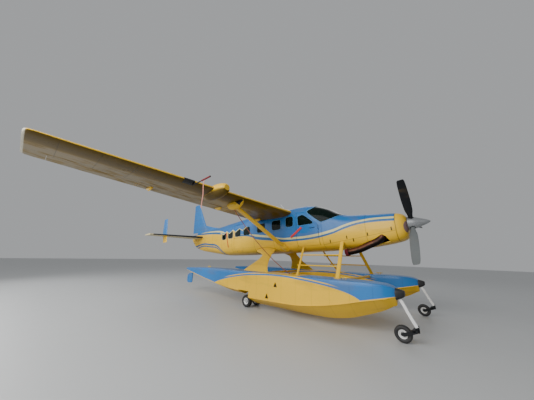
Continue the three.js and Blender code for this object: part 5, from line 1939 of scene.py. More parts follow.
    def pod(self) -> None:
        """Makes the round pod on the right wing's leading edge."""
        rows = (
            (0, 0.085), (0.012, 0.108), (0.06, 0.135), (0.23, 0.185), (0.44, 0.21), (0.7, 0.2), (0.98, 0.14),
            (1.19, 0.02),
        )
        profile = eased(rows, np.linspace(0, 1.19, 34))
        span = 4.01
        lead, _, height, _ = self.row(span)
        start = air([lead - 0.34, -span, height - 0.01])
        pod = Form().turned([(r, t) for t, r in profile], start, air_vector([1, 0, -0.05]), 40)
        # The pod takes the wing's paint, so its faces that look down get the same painted shade.
        self.dress(pod, "radar_pod", self.finishes.wing, "yellow_paint")


@dataclass
class Tail(Assembly):
    """Tailplane with finlets, elevators, fin and rudder."""

    root: tuple = (0.0, 10.93, 1.50, 0.489, 0.10)
    tip: tuple = (3.125, 11.454, 0.82, 0.489, 0.09)
    hinge: float = 11.9
    inner: float = 0.182
    outer: float = 3.03
    finlet: float = 2.3
    fin_rows: tuple = (
        (0.56, 10.70, 1.96, 0.075), (1.29, 11.25, 1.42, 0.08), (2.56, 12.01, 0.64, 0.085),
        (2.69, 12.12, 0.545, 0.05), (2.752, 12.18, 0.45, 0.03),
    )
    fillet: tuple = (
        (9.65, 0.03, 0.86, 0.004, 0.905), (10.4, 0.035, 0.83, 0.006, 1.04), (11.3, 0.045, 0.78, 0.014, 1.262)
    )
    foot: tuple = (12.085, 0.805)
    head: tuple = (12.335, 2.76)

    def row(self, span: float) -> Array:
        """Leading edge, chord, height and thickness at a span position."""
        t = abs(span) / self.tip[0]
        return np.array(self.root[1:]) * (1 - t) + np.array(self.tip[1:]) * t

    def ring(self, span: float, part: str, grow: float = 0.0) -> Array:
        """One section of the tailplane, whole, fixed or moving.

        Args:
            span: its y.
            part: whole, fixed or moving.
            grow: how far its points are moved outward.

        Returns:
            Its points in the row frame.
        """
        lead, chord, height, thickness = self.row(span)
        section = getattr(Section(chord, thickness, 0, (self.hinge - lead) / chord), part)()
        if grow:
            section = section + np.sign(section - [chord / 2, 0]) * grow
        return air([(lead + a, span, height + b) for a, b in section])

    def slot(self) -> Form:
        """The room that the tailplane needs in the tail cone."""
        return Form().loft([self.ring(y, "whole", SEAT) for y in (-0.33, 0, 0.33)])

    def build(self) -> None:
        """Makes the tail's pieces."""
        f = self.finishes
        gap = 0.006
        fixed = Form()
        for side in (-1, 1):
            spans = [side * s for s in spaced(self.outer + gap, 3.11, 0.03)]
            fixed.loft([self.ring(s, "whole") for s in spans] + [self.ring(side * 3.125, "whole")])
        body = spaced(-self.outer - gap, self.outer + gap, 0.3)
        fixed.loft([self.ring(s, "fixed") for s in body])
        self.dress(fixed, "tailplane_skin", f.pale, "yellow_paint", replaces=["tailplane"])
        boots = Form()
        for side in (-1, 1):
            rings = []
            for span in spaced(0.34, 2.98, 0.3):
                lead, chord, height, thick = self.row(span)
                nose = Section(chord, thick).sleeve(0.1, 0.002, 10)
                rings.append(air([(lead + a, side * span, height + b) for a, b in nose]))
            boots.loft(rings)
        self.dress(boots, "tailplane_boots", f.rubber, "black_plastic")
        for side in Side:
            rings = []
            for t in np.linspace(0, 1, 12):
                z = 0.095 + (1.39 - 0.095) * t
                lean = -0.06 + 0.15 * t
                chord = 0.52 * (0.82 + 0.36 * t if t < 0.5 else 1.0 - 0.28 * (t - 0.5) * 2)
                section = Section(chord, 0.06).whole()
                rings.append(air([(11.40 + lean + a, side.value * self.finlet + b, z) for a, b in section]))
            self.dress(Form().loft(rings), f"finlet_{side.word}", f.finlet, "blue_paint")
        elevators = Form()
        for side in (-1, 1):
            spans = [side * s for s in spaced(self.inner, self.outer, 0.3)]
            elevators.loft([self.ring(s, "moving") for s in spans])
        elevators.bar(air([self.hinge, -0.2, 0.489]), air([self.hinge, 0.2, 0.489]), 0.022)
        self.dress(elevators, "elevators_skin", f.pale, "blue_paint", "elevators", ["elevators"])
        self.fin()

    def fin(self) -> None:
        """Makes the fin with its long fillet, and the rudder."""
        f = self.finishes
        rows = np.array(self.fin_rows)
        fixed, moving = [], []
        for z in (*spaced(0.78, 2.69, 0.1), 2.752):
            _, lead, chord, thickness = [np.interp(z, rows[:, 0], rows[:, k]) for k in range(4)]
            t = (z - self.foot[1]) / (self.head[1] - self.foot[1])
            hinge = self.foot[0] + (self.head[0] - self.foot[0]) * t
            section = Section(chord, thickness, 0, (hinge - lead) / chord)
            fixed.append(air([(lead + a, b, z) for a, b in section.fixed()]))
            if z > 0.79:
                moving.append(air([(lead + a, b, z) for a, b in section.moving()]))
        fillet = []
        for s, half, low, top_half, high in eased(self.fillet, spaced(9.65, 11.3, 0.1)):
            top = top_half * 1.4
            section = ((-half, low), (-top, high - 0.03), (0, high), (top, high - 0.03), (half, low))
            fillet.append(air([(s, y, z) for y, z in section]))
        form = Form().loft(fixed)
        form.loft(fillet)
        self.dress(form, "fin_skin", f.fin, "blue_paint", replaces=["fin"])
        self.dress(Form().loft(moving), "rudder_skin", f.fin, "blue_paint", "rudder", ["rudder"])


@dataclass
class Propeller(Assembly):
    """Three feathered blades and the pointed spinner.

    A blade's row is the radius, chord, thickness and pitch in degrees.
    """

    station: float = 0.455
    angle: float = math.radians(30.4)
    rows: tuple = (
        (0.06, 0.105, 0.084, 90), (0.23, 0.125, 0.064, 88), (0.42, 0.205, 0.036, 86),
        (0.80, 0.232, 0.024, 80), (1.15, 0.222, 0.015, 75), (1.321, 0.185, 0.009, 72),
        (1.346, 0.14, 0.006, 72),
    )

    def blade(self, turn: float) -> Form:
        """One blade, turned about the shaft.

        Args:
            turn: its angle round the shaft.

        Returns:
            The blade.
        """
        rings = []
        c, n = math.cos(turn), math.sin(turn)
        places = np.concatenate([spaced(0.06, 1.28, 0.05), spaced(1.29, 1.346, 0.008)])
        for radius, chord, thick, pitch in eased(self.rows, places):
            a = circle(24)
            u, v = chord / 2 * np.cos(a), thick / 2 * np.sin(a)
            p = math.radians(pitch)
            s = -(u * math.sin(p) - v * math.cos(p))
            y = u * math.cos(p) + v * math.sin(p)
            rings.append(air(np.stack([self.station + s, y * c - radius * n, y * n + radius * c], 1)))
        return Form().loft(rings)

    def build(self) -> None:
        """Makes the propeller and the spinner."""
        f = self.finishes
        turns = [self.angle + 2 * math.pi * k / 3 for k in range(3)]
        hub = Form().bar(air([0.373, 0, 0]), air([0.5995, 0, 0]), 0.088, sides=32)
        blades = together([hub, *(self.blade(t) for t in turns)])
        self.dress(blades, "propeller_blades", f.blade, "blade_paint", "propeller", ["propeller"])
        rows = ((0, 0), (0.062, 0.045), (0.23, 0.112), (0.39, 0.168), (0.548, 0.205))
        profile = eased(rows, np.linspace(0, 0.548, 36))
        axis = air_vector([1, 0, 0])
        cone = Form().turned([(r, t) for t, r in profile], air([0, 0, 0]), axis, 56).piece("spinner_cone")
        shaped(cone, Form().turned([(0.09, 0.372), (0.15, 0.38), (0.197, 0.56)], air([0, 0, 0]), axis, 56))
        for t in turns:
            out = np.array([0, -math.sin(t), math.cos(t)])
            at = np.array([self.station, 0, 0])
            shaped(cone, Form().bar(air(at + out * 0.095), air(at + out * 0.3), 0.074, sides=32))
        self.dress(cone, "spinner_cone", f.silver, "bare_metal", "propeller", ["spinner"])


@dataclass
class Floats(Assembly):
    """The two floats, their struts, spreader beams and water rudders.

    A row ahead of the step (fore) or behind it (after) is the place, half beam, half deck, keel, chine and
    deck. Recesses are the middles of the two small steps for a foot, and post is the water rudder's pivot.
    """

    fore: tuple = (
        (0.722, 0.105, 0.095, 0.9, 0.925, 1.085), (0.73, 0.135, 0.12, 0.745, 0.92, 1.095),
        (0.8, 0.21, 0.19, 0.706, 0.905, 1.135), (1.0, 0.32, 0.3, 0.59, 0.865, 1.175),
        (1.4, 0.39, 0.375, 0.425, 0.775, 1.19), (1.9, 0.425, 0.41, 0.262, 0.645, 1.19),
        (2.5, 0.432, 0.42, 0.172, 0.52, 1.19), (3.3, 0.435, 0.425, 0.15, 0.42, 1.19),
        (5.15, 0.435, 0.425, 0.14, 0.37, 1.19),
    )
    after: tuple = (
        (5.15, 0.435, 0.425, 0.4, 0.445, 1.19), (5.7, 0.425, 0.415, 0.375, 0.535, 1.19),
        (6.3, 0.405, 0.395, 0.385, 0.56, 1.19), (7.8, 0.32, 0.31, 0.6, 0.715, 1.175),
        (9.5, 0.165, 0.155, 0.88, 0.925, 1.105), (10.07, 0.06, 0.05, 0.975, 0.995, 1.075),
    )
    well: tuple = (5.148, 5.740, 0.56)
    recesses: tuple = ((3.975, 0.885), (4.315, 0.515))
    post: float = 9.56

    def ring(self, row: Sequence[float], side: Side, floor: float = 0.0) -> Array:
        """One section of a float.

        Args:
            row: place, half beam, half deck, keel, chine and deck.
            side: which float.
            floor: nothing lies lower than this.

        Returns:
            Its points in the row frame.
        """
        d, beam, deck_half, keel, chine, deck = row
        rise = chine - keel
        half = [
            (0, keel), (beam * 0.3, keel + rise * 0.27), (beam * 0.55, keel + rise * 0.5),
            (beam * 0.8, keel + rise * 0.76), (beam, chine - 0.004), (beam + 0.006, chine),
            (beam + 0.006, chine + 0.014), (beam, chine + 0.02),
            (beam * 0.6 + deck_half * 0.4, chine * 0.6 + deck * 0.4),
            ((beam + deck_half * 3) / 4, (chine + deck * 3) / 4), (deck_half, deck - 0.024),
            (deck_half - 0.007, deck - 0.007), (deck_half - 0.024, deck), (deck_half * 0.4, deck + 0.0005),
        ]
        whole = half + [(-y, z) for y, z in half[:0:-1]]
        return stand([(d, side.value * FLOAT_Y + y, max(z, floor)) for y, z in whole])

    def body(self, side: Side) -> Piece:
        """A float's hull, with the step and the wheel well.

        Args:
            side: which float.

        Returns:
            The hull.
        """
        fore, aft, roof = self.well
        bow = spaced(0.722, 0.73, 0.004), spaced(0.745, 1.0, 0.03)
        front = np.concatenate([*bow, spaced(1.08, fore, 0.1)])
        rear = np.concatenate([spaced(fore, 9.5, 0.1), spaced(9.56, 10.07, 0.05)])
        form = Form().loft([self.ring(r, side) for r in eased(self.fore, front)])
        hull = Form().loft([self.ring(r, side) for r in eased(self.after, rear)]).piece("after_body")
        middle = side.value * FLOAT_Y
        room = [
            (fore - 0.2, 0), (fore - 0.2, roof), (aft - 0.09, roof), (aft - 0.03, roof - 0.05),
            (aft, roof - 0.12), (aft, 0),
        ]
        shaped(hull, Form().plate(room, middle - 0.7, 1.4))
        shaped(hull, form, Cut.JOIN)
        post = Form().rod((self.post, middle, 0.56), (self.post, middle, 0.95), 0.012)
        return shaped(hull, post, Cut.JOIN)

    def build(self) -> None:
        """Makes both floats and what holds them."""
        f = self.finishes
        for side in Side:
            w = side.word
            hull = self.recessed(self.body(side), side)
            self.dress(hull, f"float_hull_{w}", f.float, "yellow_paint", replaces=[f"float_{w}"])
            self.fittings(side)
            self.front_struts(side)
            self.rear_strut(side)
            self.water_rudder(side)
        for name, d in (("fore", 2.17), ("aft", 5.32)):
            tube, node = Form().rod((d, -1.18, 1.12), (d, 1.18, 1.12), 0.04, 24), f"spreader_{name}"
            self.dress(tube, f"spreader_tube_{name}", f.yellow, "yellow_paint", replaces=[node])

    def recessed(self, hull: Piece, side: Side) -> Piece:
        """Cuts the two small steps for a foot into a float's outer side.

        Args:
            hull: the float's hull.
            side: which float.

        Returns:
            The hull.
        """
        for place in self.recesses:
            shaped(hull, self.step(place, 0.075, side, 0.395, 0.2))
        return hull

    def step(self, place: Sequence[float], half: float, side: Side, near: float, deep: float) -> Form:
        """The three-cornered shape of a foot's step.

        Args:
            place: its middle, d and height.
            half: half its width.
            side: which float.
            near: where it starts, from the float's middle.
            deep: how far it reaches outward.

        Returns:
            The closed form.
        """
        d, z = place
        corners = rounded([(d - half, z - half), (d, z + half + 0.01), (d + half, z - half)], 0.02, 3)
        return Form().plate(corners, side.value * (FLOAT_Y + near), side.value * deep)

    def fittings(self, side: Side) -> None:
        """Makes the bow bumper, the spray rails, the dark plates of painted shade in the foot steps and the deck
        cleats of one float.

        Args:
            side: which float.
        """
        f, w, y = self.finishes, side.word, side.value * FLOAT_Y
        rows = (
            (0.562, 0.052, 0.955, 1.052), (0.580, 0.078, 0.930, 1.066), (0.640, 0.108, 0.893, 1.085),
            (0.735, 0.136, 0.852, 1.104), (0.752, 0.138, 0.848, 1.106),
        )
        turn = circle(32)
        c, n = np.cos(turn), np.sin(turn)
        rings = []
        for d, half, low, high in eased(rows, spaced(0.562, 0.752, 0.012)):
            across = half * np.sign(c) * np.abs(c) ** 0.6
            up = (low + high) / 2 + (high - low) / 2 * np.sign(n) * np.abs(n) ** 0.6
            rings.append(stand(np.stack([np.full_like(c, d), y + across, up], 1)))
        self.dress(Form().loft(rings), f"bow_bumper_{w}", f.rubber, "black_plastic")
        rail = Form()
        for k in (-1, 1):
            path = []
            for d, beam, _, _, chine, _ in eased(self.fore, spaced(0.86, 5.1, 0.12)):
                path.append((d, y + k * (beam + 0.008), chine - 0.004))
            rail.tube(stand(path), 0.013, 8, 0.8)
        self.dress(rail, f"spray_rails_{w}", f.yellow, "yellow_paint")
        # Dark plates inside the foot steps: painted shade in the recesses.
        shade_plates = together(self.step(place, 0.073, side, 0.394, 0.004) for place in self.recesses)
        self.dress(shade_plates, f"foot_recess_insides_{w}", f.dark, "black_plastic")
        cleats = Form()
        for d in (1.93, 8.2):
            deck = DECK if d < 7 else 1.165
            for foot in (d - 0.04, d + 0.04):
                cleats.rod((foot, y, deck - 0.005), (foot, y, deck + 0.05), 0.009, 12)
            cleats.rod((d - 0.11, y, deck + 0.052), (d + 0.11, y, deck + 0.052), 0.012, 12)
        self.dress(cleats, f"deck_cleats_{w}", f.yellow, "yellow_paint")

    def faired(self, rows: Sequence, side: Side, sides: int = 28) -> Form:
        """A streamlined strut from rows of d, y, z, chord and thickness.

        Args:
            rows: d, y, z, chord and thickness of its sections.
            side: which float.
            sides: points round it.

        Returns:
            The strut.
        """
        rings = []
        for d, y, z, chord, thick in rows:
            turn = circle(sides)
            across = side.value * (y + thick / 2 * np.sin(turn))
            rings.append(stand(np.stack([d + chord / 2 * np.cos(turn), across, np.full(sides, z)], 1)))
        return Form().loft(rings)

    def front_struts(self, side: Side) -> None:
        """Makes the two front struts and the rungs between them.

        Args:
            side: which float.
        """
        legs = (
            ((2.17, 1.5), (2.365, 0.56, 2.29), 0.12, 0.07, 0, 0),
            ((3.5, 1.5), (3.8, 0.60, 2.15), 0.075, 0.06, 0.09, 0.025),
        )
        form = Form()
        for foot, head, chord, thick, _, _ in legs:
            shoe = (chord * 1.8, thick * 2.2)
            rows = [(*foot, DECK + SEAT, *shoe), (*foot, DECK + 0.014, *shoe)]
            rows.append((*foot, DECK + 0.016, chord, thick))
            for t in (0.5, 1):
                d, y = (a + (b - a) * t for a, b in zip(foot, head))
                rows.append((d, y, DECK + (head[2] - DECK) * t, chord, thick))
            base = self.faired(rows, side)
            form.add(np.vstack(base.points), base.faces)
        for z in (1.50, 1.83):
            ends = []
            for foot, head, _, _, aft, drop in legs:
                t = (z - DECK) / (head[2] - DECK)
                d, y = (a + (b - a) * t for a, b in zip(foot, head))
                ends.append((d + aft, side.value * y, z - drop))
            form.rod(*ends, 0.019, 20)
        name = f"strut_frame_{side.word}"
        self.dress(form, f"{name}_tubes", self.finishes.yellow, "yellow_paint", replaces=[name])

    def rear_strut(self, side: Side) -> None:
        """Makes the broad rear strut with its fairing to the fuselage.

        Args:
            side: which float.
        """
        rows = (
            (DECK + SEAT, 5.32, 1.56, 1.24, 0.13), (DECK + 0.03, 5.32, 1.54, 1.18, 0.10),
            (1.74, 5.31, 0.96, 0.48, 0.078), (1.80, 5.36, 0.90, 0.52, 0.09), (1.945, 5.58, 0.735, 1.0, 0.15),
            (2.08, 5.64, 0.56, 1.06, 0.24),
        )
        strut, flare = spaced(DECK + 0.03, 1.74, 0.08), spaced(1.76, 2.08, 0.02)
        places = np.concatenate([[DECK + SEAT, DECK + 0.015], strut, flare])
        table = [(d, y, z, chord, thick) for z, d, y, chord, thick in eased(rows, places)]
        name = f"rear_strut_{side.word}"
        fairing = self.faired(table, side, 40)
        self.dress(fairing, f"{name}_fairing", self.finishes.yellow, "yellow_paint", replaces=[name])

    def water_rudder(self, side: Side) -> None:
        """Makes the blade that hangs below the stern.

        Args:
            side: which float.
        """
        outline = [
            (9.53, 0.59), (9.55, 0.85), (9.89, 0.80), (10.0, 0.70), (10.0, 0.47), (9.92, 0.38), (9.62, 0.39),
            (9.535, 0.44),
        ]
        d, y = self.post, side.value * FLOAT_Y
        piece = Form().plate(rounded(outline, 0.04, 4), y - 0.013, 0.026).piece("rudder_blade")
        shaped(piece, Form().rod((d, y, 0.60), (d, y, 0.86), 0.026, 24), Cut.JOIN)
        shaped(piece, Form().rod((d, y, 0.5), (d, y, 0.95), 0.0135, 24))
        name = f"water_rudder_{side.word}"
        self.dress(piece, f"{name}_blade", self.finishes.blue, "blue_paint", name, [name], bevel=0.004)


@dataclass
class Gear(Assembly):
    """Nose legs, forks and wheels, and the twin main wheels."""

    caster: float = 0.40
    nose: tuple = (0.68, 0.175, 0.062, 0.092)
    main: tuple = (5.39, 0.200, 0.078, 0.108, 0.24)

    def wheel(
        self, d: float, y: float, radius: float, half: float, rim: float, bore: float
    ) -> tuple[Form, Form]:
        """A wheel on an axle along y.

        Args:
            d: its place behind the spinner tip.
            y: its middle.
            radius: of the tyre.
            half: half the tyre's width.
            rim: radius of the rim's edge.
            bore: radius of its hole.

        Returns:
            The tyre and the rim.
        """
        start = stand([d, y, radius])
        axis = (0, 1, 0)
        side = [
            (rim, 0.72), (rim + 0.004, 0.80), (radius * 0.70, 0.97), (radius * 0.80, 1.0),
            (radius * 0.91, 0.90), (radius * 0.975, 0.66), (radius * 0.995, 0.5),
        ]
        tyre = [(r, -w * half) for r, w in side]
        tread = ((0, -0.035), (0.005, -0.02), (0.005, 0.02), (0, 0.035))
        for groove in (-0.36, -0.12, 0.12, 0.36):
            tyre += [(radius - deep, (groove + w) * half) for deep, w in tread]
        tyre += [(r, w * half) for r, w in side[::-1]]
        tyre += [(rim - 0.012, 0.6 * half), (rim - 0.012, -0.6 * half), (rim, -0.72 * half)]
        face = [(bore, 0.62), (0.036, 0.62), (0.04, 0.5), (rim * 0.55, 0.3), (rim * 0.78, 0.34)]
        face += [(rim * 0.82, 0.66), (rim * 0.98, 0.76), (rim, 0.7)]
        disc = [(r, -w) for r, w in face] + face[::-1] + [(bore, -0.62)]
        hub = Form().turned([(r, w * half) for r, w in disc], start, axis, 40)
        return Form().turned(tyre, start, axis, 56), hub

    def hub_caps(self, d: float, centres: Sequence[float], radius: float, half: float, rim: float) -> Form:
        """Dark hub centres with their bolts, on both faces of each wheel.

        Args:
            d: the wheels' place behind the spinner tip.
            centres: their middles.
            radius: of the tyre.
            half: half the tyre's width.
            rim: radius of the rim's edge.

        Returns:
            The caps.
        """
        caps = Form()
        for y in centres:
            for k in (-1, 1):
                face = k * half * 0.3
                profile = [
                    (0.027, 0.0), (rim * 0.52, 0.0), (rim * 0.5, 0.012), (0.034, 0.02), (0.027, 0.02),
                    (0.027, 0.0),
                ]
                caps.turned([(r, face + k * t) for r, t in profile], stand([d, y, radius]), (0, 1, 0), 32)
                for a in circle(6):
                    at = stand([d + rim * 0.4 * math.cos(a), y + face, radius + rim * 0.4 * math.sin(a)])
                    caps.bar(at, at + [0, k * 0.018, 0], 0.006, sides=6)
        return caps

    def build(self) -> None:
        """Makes the gear on both floats."""
        f = self.finishes
        for side in Side:
            w, y = side.word, side.value * FLOAT_Y
            nose, main = f"nose_wheel_{w}", f"main_wheels_{w}"
            d, radius, half, rim = self.nose
            tyre, disc = self.wheel(d, y, radius, half, rim, 0.0125)
            self.dress(tyre, f"nose_tyre_{w}", f.tyre, "tyre", nose, [nose])
            self.dress(disc, f"nose_rim_{w}", f.white, "white_paint", nose)
            caps = self.hub_caps(d, [y], radius, half, rim)
            self.dress(caps, f"nose_hub_{w}", f.dark, "grey_metal", nose)
            d, radius, half, rim, spacing = self.main
            tyres, discs = zip(*(self.wheel(d, y + k * spacing, radius, half, rim, 0.02) for k in (-1, 1)))
            axle = Form().rod((d, y - spacing - 0.06, radius), (d, y + spacing + 0.06, radius), 0.023)
            self.dress(together(tyres), f"main_tyres_{w}", f.tyre, "tyre", main, [main])
            self.dress(together(discs), f"main_rims_{w}", f.white, "white_paint", main)
            self.dress(axle, f"main_axle_{w}", f.steel, "grey_metal", main)
            caps = self.hub_caps(d, [y - spacing, y + spacing], radius, half, rim)
            self.dress(caps, f"main_hubs_{w}", f.dark, "grey_metal", main)
            self.nose_leg(side)
            self.fork(side)
            self.main_leg(side)

    def nose_leg(self, side: Side) -> None:
        """Makes the flat sprung leg and the caster boss at its end.

        Args:
            side: which float.
        """
        d, y = self.caster, side.value * FLOAT_Y
        boss = Form().rod((d, y, 0.338), (d, y, 0.392), 0.032, 28).rod((d, y, 0.26), (d, y, 0.343), 0.012)
        rows = eased(((0.352, 0.402), (0.56, 0.51), (0.86, 0.655), (1.0, 0.76)), spaced(0.352, 0.97, 0.03))
        a, b = 0.028, 0.036
        corners = ((-a, -b, 0.014), (-a, b, 0.014), (a, b, -0.012), (a, -b, -0.012))
        leg = Form().loft([stand([(d + i, y + j, z + k) for i, j, k in corners]) for z, d in rows])
        name = f"nose_leg_{side.word}"
        self.dress(leg, f"{name}_spring", self.finishes.white, "white_paint", replaces=[name], bevel=0.004)
        self.dress(boss, f"nose_caster_{side.word}", self.finishes.dark, "grey_metal", bevel=0.002)

    def fork(self, side: Side) -> None:
        """Makes the trailing fork of a nose wheel.

        Args:
            side: which float.
        """
        y = side.value * FLOAT_Y
        d, radius, half, _ = self.nose
        inside, outside = half + 0.010, half + 0.028
        collar = [(0.0135, 0), (0.036, 0), (0.036, 0.082), (0.0135, 0.082), (0.0135, 0)]
        form = Form().turned(collar, stand([self.caster, y, 0.25]), (0, 0, 1), 28)
        bridge = oblong(self.caster + 0.03, d - radius - 0.018, 0.262, 0.318)
        form.plate(rounded(bridge, 0.01), y - outside, 2 * outside)
        arm = [
            (self.caster - 0.01, 0.318), (d - 0.02, radius + 0.042), (d + 0.034, radius + 0.024),
            (d + 0.034, radius - 0.024), (d - 0.026, radius - 0.034), (self.caster - 0.01, 0.256),
        ]
        for k in (-1, 1):
            form.plate(rounded(arm, 0.02), y + k * inside, k * (outside - inside))
        form.rod((d, y - outside - 0.006, radius), (d, y + outside + 0.006, radius), 0.011)
        name = f"nose_fork_{side.word}"
        self.dress(form, f"{name}_arms", self.finishes.dark, "grey_metal", name, [name], bevel=0.002)

    def main_leg(self, side: Side) -> None:
        """Makes the trailing arm of the twin main wheels.

        Args:
            side: which float.
        """
        y = side.value * FLOAT_Y
        d, radius = self.main[:2]
        outline = [
            (d - 0.12, 0.5595), (d + 0.06, 0.5595), (d + 0.048, radius - 0.01), (d - 0.01, radius - 0.046),
            (d - 0.048, radius),
        ]
        piece = Form().plate(rounded(outline, 0.02), y - 0.07, 0.14).piece("arm")
        shaped(piece, Form().rod((d, y - 0.09, radius), (d, y + 0.09, radius), 0.052, 32), Cut.JOIN)
        shaped(piece, Form().rod((d, y - 0.2, radius), (d, y + 0.2, radius), 0.0245, 32))
        name = f"main_leg_{side.word}"
        self.dress(piece, f"{name}_arm", self.finishes.grey, "grey_metal", replaces=[name], bevel=0.003)


@dataclass
class Details(Assembly):
    """Covers, plugs, straps, antennas, latches, handles and the air data tube at its span."""

    span: float = -4.8
    cloth: tuple = (0, -0.002, 0)

    def build(self) -> None:
        """Makes the small details."""
        f = self.finishes
        for side in Side:
            self.plug(side)
            latches = Form()
            for s, z in ((0.93, -0.16), (1.587, -0.266), (2.025, -0.403), (2.207, -0.312), (2.75, -0.40)):
                latches.tube([HULL.on(s, z + k, side, 0.002) for k in (-0.05, 0, 0.05)], 0.015, 8, 0.5)
            self.dress(latches, f"cowl_latches_{side.word}", f.dark, "grey_metal")
            grip = [HULL.on(s, 0.11, side, 0.004) for s in (3.24, 3.30, 3.37, 3.44)]
            handle = Form().tube(grip, 0.014, 10, 0.6)
            self.dress(handle, f"crew_handle_{side.word}", f.dark, "black_plastic", f"crew_door_{side.word}")
        line = air([(4.93, 0, 1.0), (5.12, 0, 1.24), (5.31, 0, 1.48)])
        mast = Form().tube(line, [0.024, 0.02, 0.015], 12, 0.45)
        self.dress(mast, "antenna_mast", f.white, "white_paint")
        dome = [(0.001, 0.075), (0.06, 0.07), (0.11, 0.045), (0.13, -0.04), (0.001, -0.04)]
        up = air_vector([0, 0, 1])
        self.dress(Form().turned(dome, air([7.65, 0, 1.0]), up), "antenna_dome", f.white, "white_paint")
        self.ribbons()
        y = self.span
        line = air([(4.58, y, 0.955), (4.42, y, 0.955), (4.2, y, 0.962), (3.74, y, 0.978)])
        tube = Form().tube(line, [0.02, 0.02, 0.014, 0.012], 12)
        self.dress(tube, "air_data_tube", f.dark, "black_plastic")
        cap = Form().tube(air([(4.12, y, 0.965), (3.76, y, 0.977)]), 0.022, 12)
        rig.padded(self.dress(cap, "air_data_cover", f.cover, "seat_cloth", sharp=70), fill=0.3)
        probe = Form().tube(air([(4.95, -7.93, 1.19), (4.93, -7.938, 1.165)]), [0.012, 0.006], 8)
        self.dress(probe, "tip_probe", f.dark, "black_plastic")
        start, end = air([4.88, -3.08, 0.64]), stand([3.79, -1.5, DECK + 0.002])
        t = np.linspace(0, 1, 24)[:, None]
        path = start * (1 - t) + end * t - np.array([0, 0, 0.19]) * 4 * t * (1 - t)
        self.dress(Form().tube(path, 0.02, 8, 0.6), "tie_strap", f.strap, "seat_cloth")

    def plug(self, side: Side) -> None:
        """Makes the padded plug in a cooling inlet, crowned in front and drawn in at its edge.

        Args:
            side: which inlet.
        """
        turn = circle(40)

        def ring(share: float, lift: float) -> Array:
            """Points round the plug at a share of its size, lifted off the cowl's skin.

            Args:
                share: its size, as a share of the plug's.
                lift: how far it is lifted.

            Returns:
                Its points in the row frame.
            """
            made = []
            for a in turn:
                y = 0.262 + 0.128 * share * math.cos(a)
                z = -0.125 + 0.172 * share * math.sin(a)
                place = next(s for s in np.linspace(0.56, 0.9, 120) if HULL.width(s, z) >= y or s > 0.899)
                made.append((place - lift, side.value * y, z))
            return air(made)

        tufts = [(0.02, 0.001), (0.1, 0.006), (0.3, 0.014), (0.55, 0.014), (0.8, 0.009), (0.94, 0.002)]
        tufts += [(1.0, -0.006), (0.9, -0.03), (0.02, -0.03)]
        form = Form().loft([ring(*row) for row in tufts])
        made = self.dress(form, f"inlet_plug_{side.word}", self.finishes.plug, "seat_cloth", sharp=80)
        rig.padded(made, fill=0.7)

    def ribbon(
        self, name: str, path: Array, across: Array, finish: Material, body: str, held: str, rest: str
    ) -> None:
        """Makes a ribbon of cloth along a path.

        Args:
            name: its name.
            path: its middle line.
            across: half its width, as a vector.
            finish: its material.
            body: the body that carries it.
            held: how the sheet is held.
            rest: the piece that it rests on or hangs from.
        """
        out = np.array(self.cloth)
        rings = [[p - across, p + across, p + across + out, p - across + out] for p in path]
        made = self.dress(Form().loft(rings), name, finish, "seat_cloth", body)
        length = float(np.linalg.norm(np.diff(path, axis=0), axis=1).sum())
        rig.sheet(made, flat=(float(np.linalg.norm(across)) * 2, length), held=held, rests_on=[rest])

    def ribbons(self) -> None:
        """Makes the three cloth ribbons: on the crew door, by the rear windows and on the air data tube."""
        f, right = self.finishes, Side.RIGHT
        t = np.linspace(0, 1, 14)
        wave = 0.004 * np.sin(t * 9)
        crew = [HULL.on(3.755 + 0.487 * k, 0.162 - 0.32 * k, right, 0.014 + w) for k, w in zip(t, wave)]
        rear = [HULL.on(8.26 - 0.2 * k, 0.44 - 0.74 * k, right, 0.014 + w) for k, w in zip(t, wave)]
        tube = air([(4.02 + 0.03 * k, self.span - w * 2, 0.94 - 0.71 * k) for k, w in zip(t, wave)])
        door, skin = "crew_door_right", "crew_door_right_skin"
        for name, path, across, finish, body, held, rest in (
            ("crew_door_ribbon", crew, (0.02, 0, 0.031), f.red, door, "laid", skin),
            ("window_ribbon", rear, (0.022, 0, 0), f.red, "airframe", "hung", "cabin_shell_skin"),
            ("air_data_ribbon", tube, (0.018, 0, 0), f.faded, "airframe", "hung", "air_data_cover"),
        ):
            self.ribbon(name, np.array(path), air_vector(across), finish, body, held, rest)


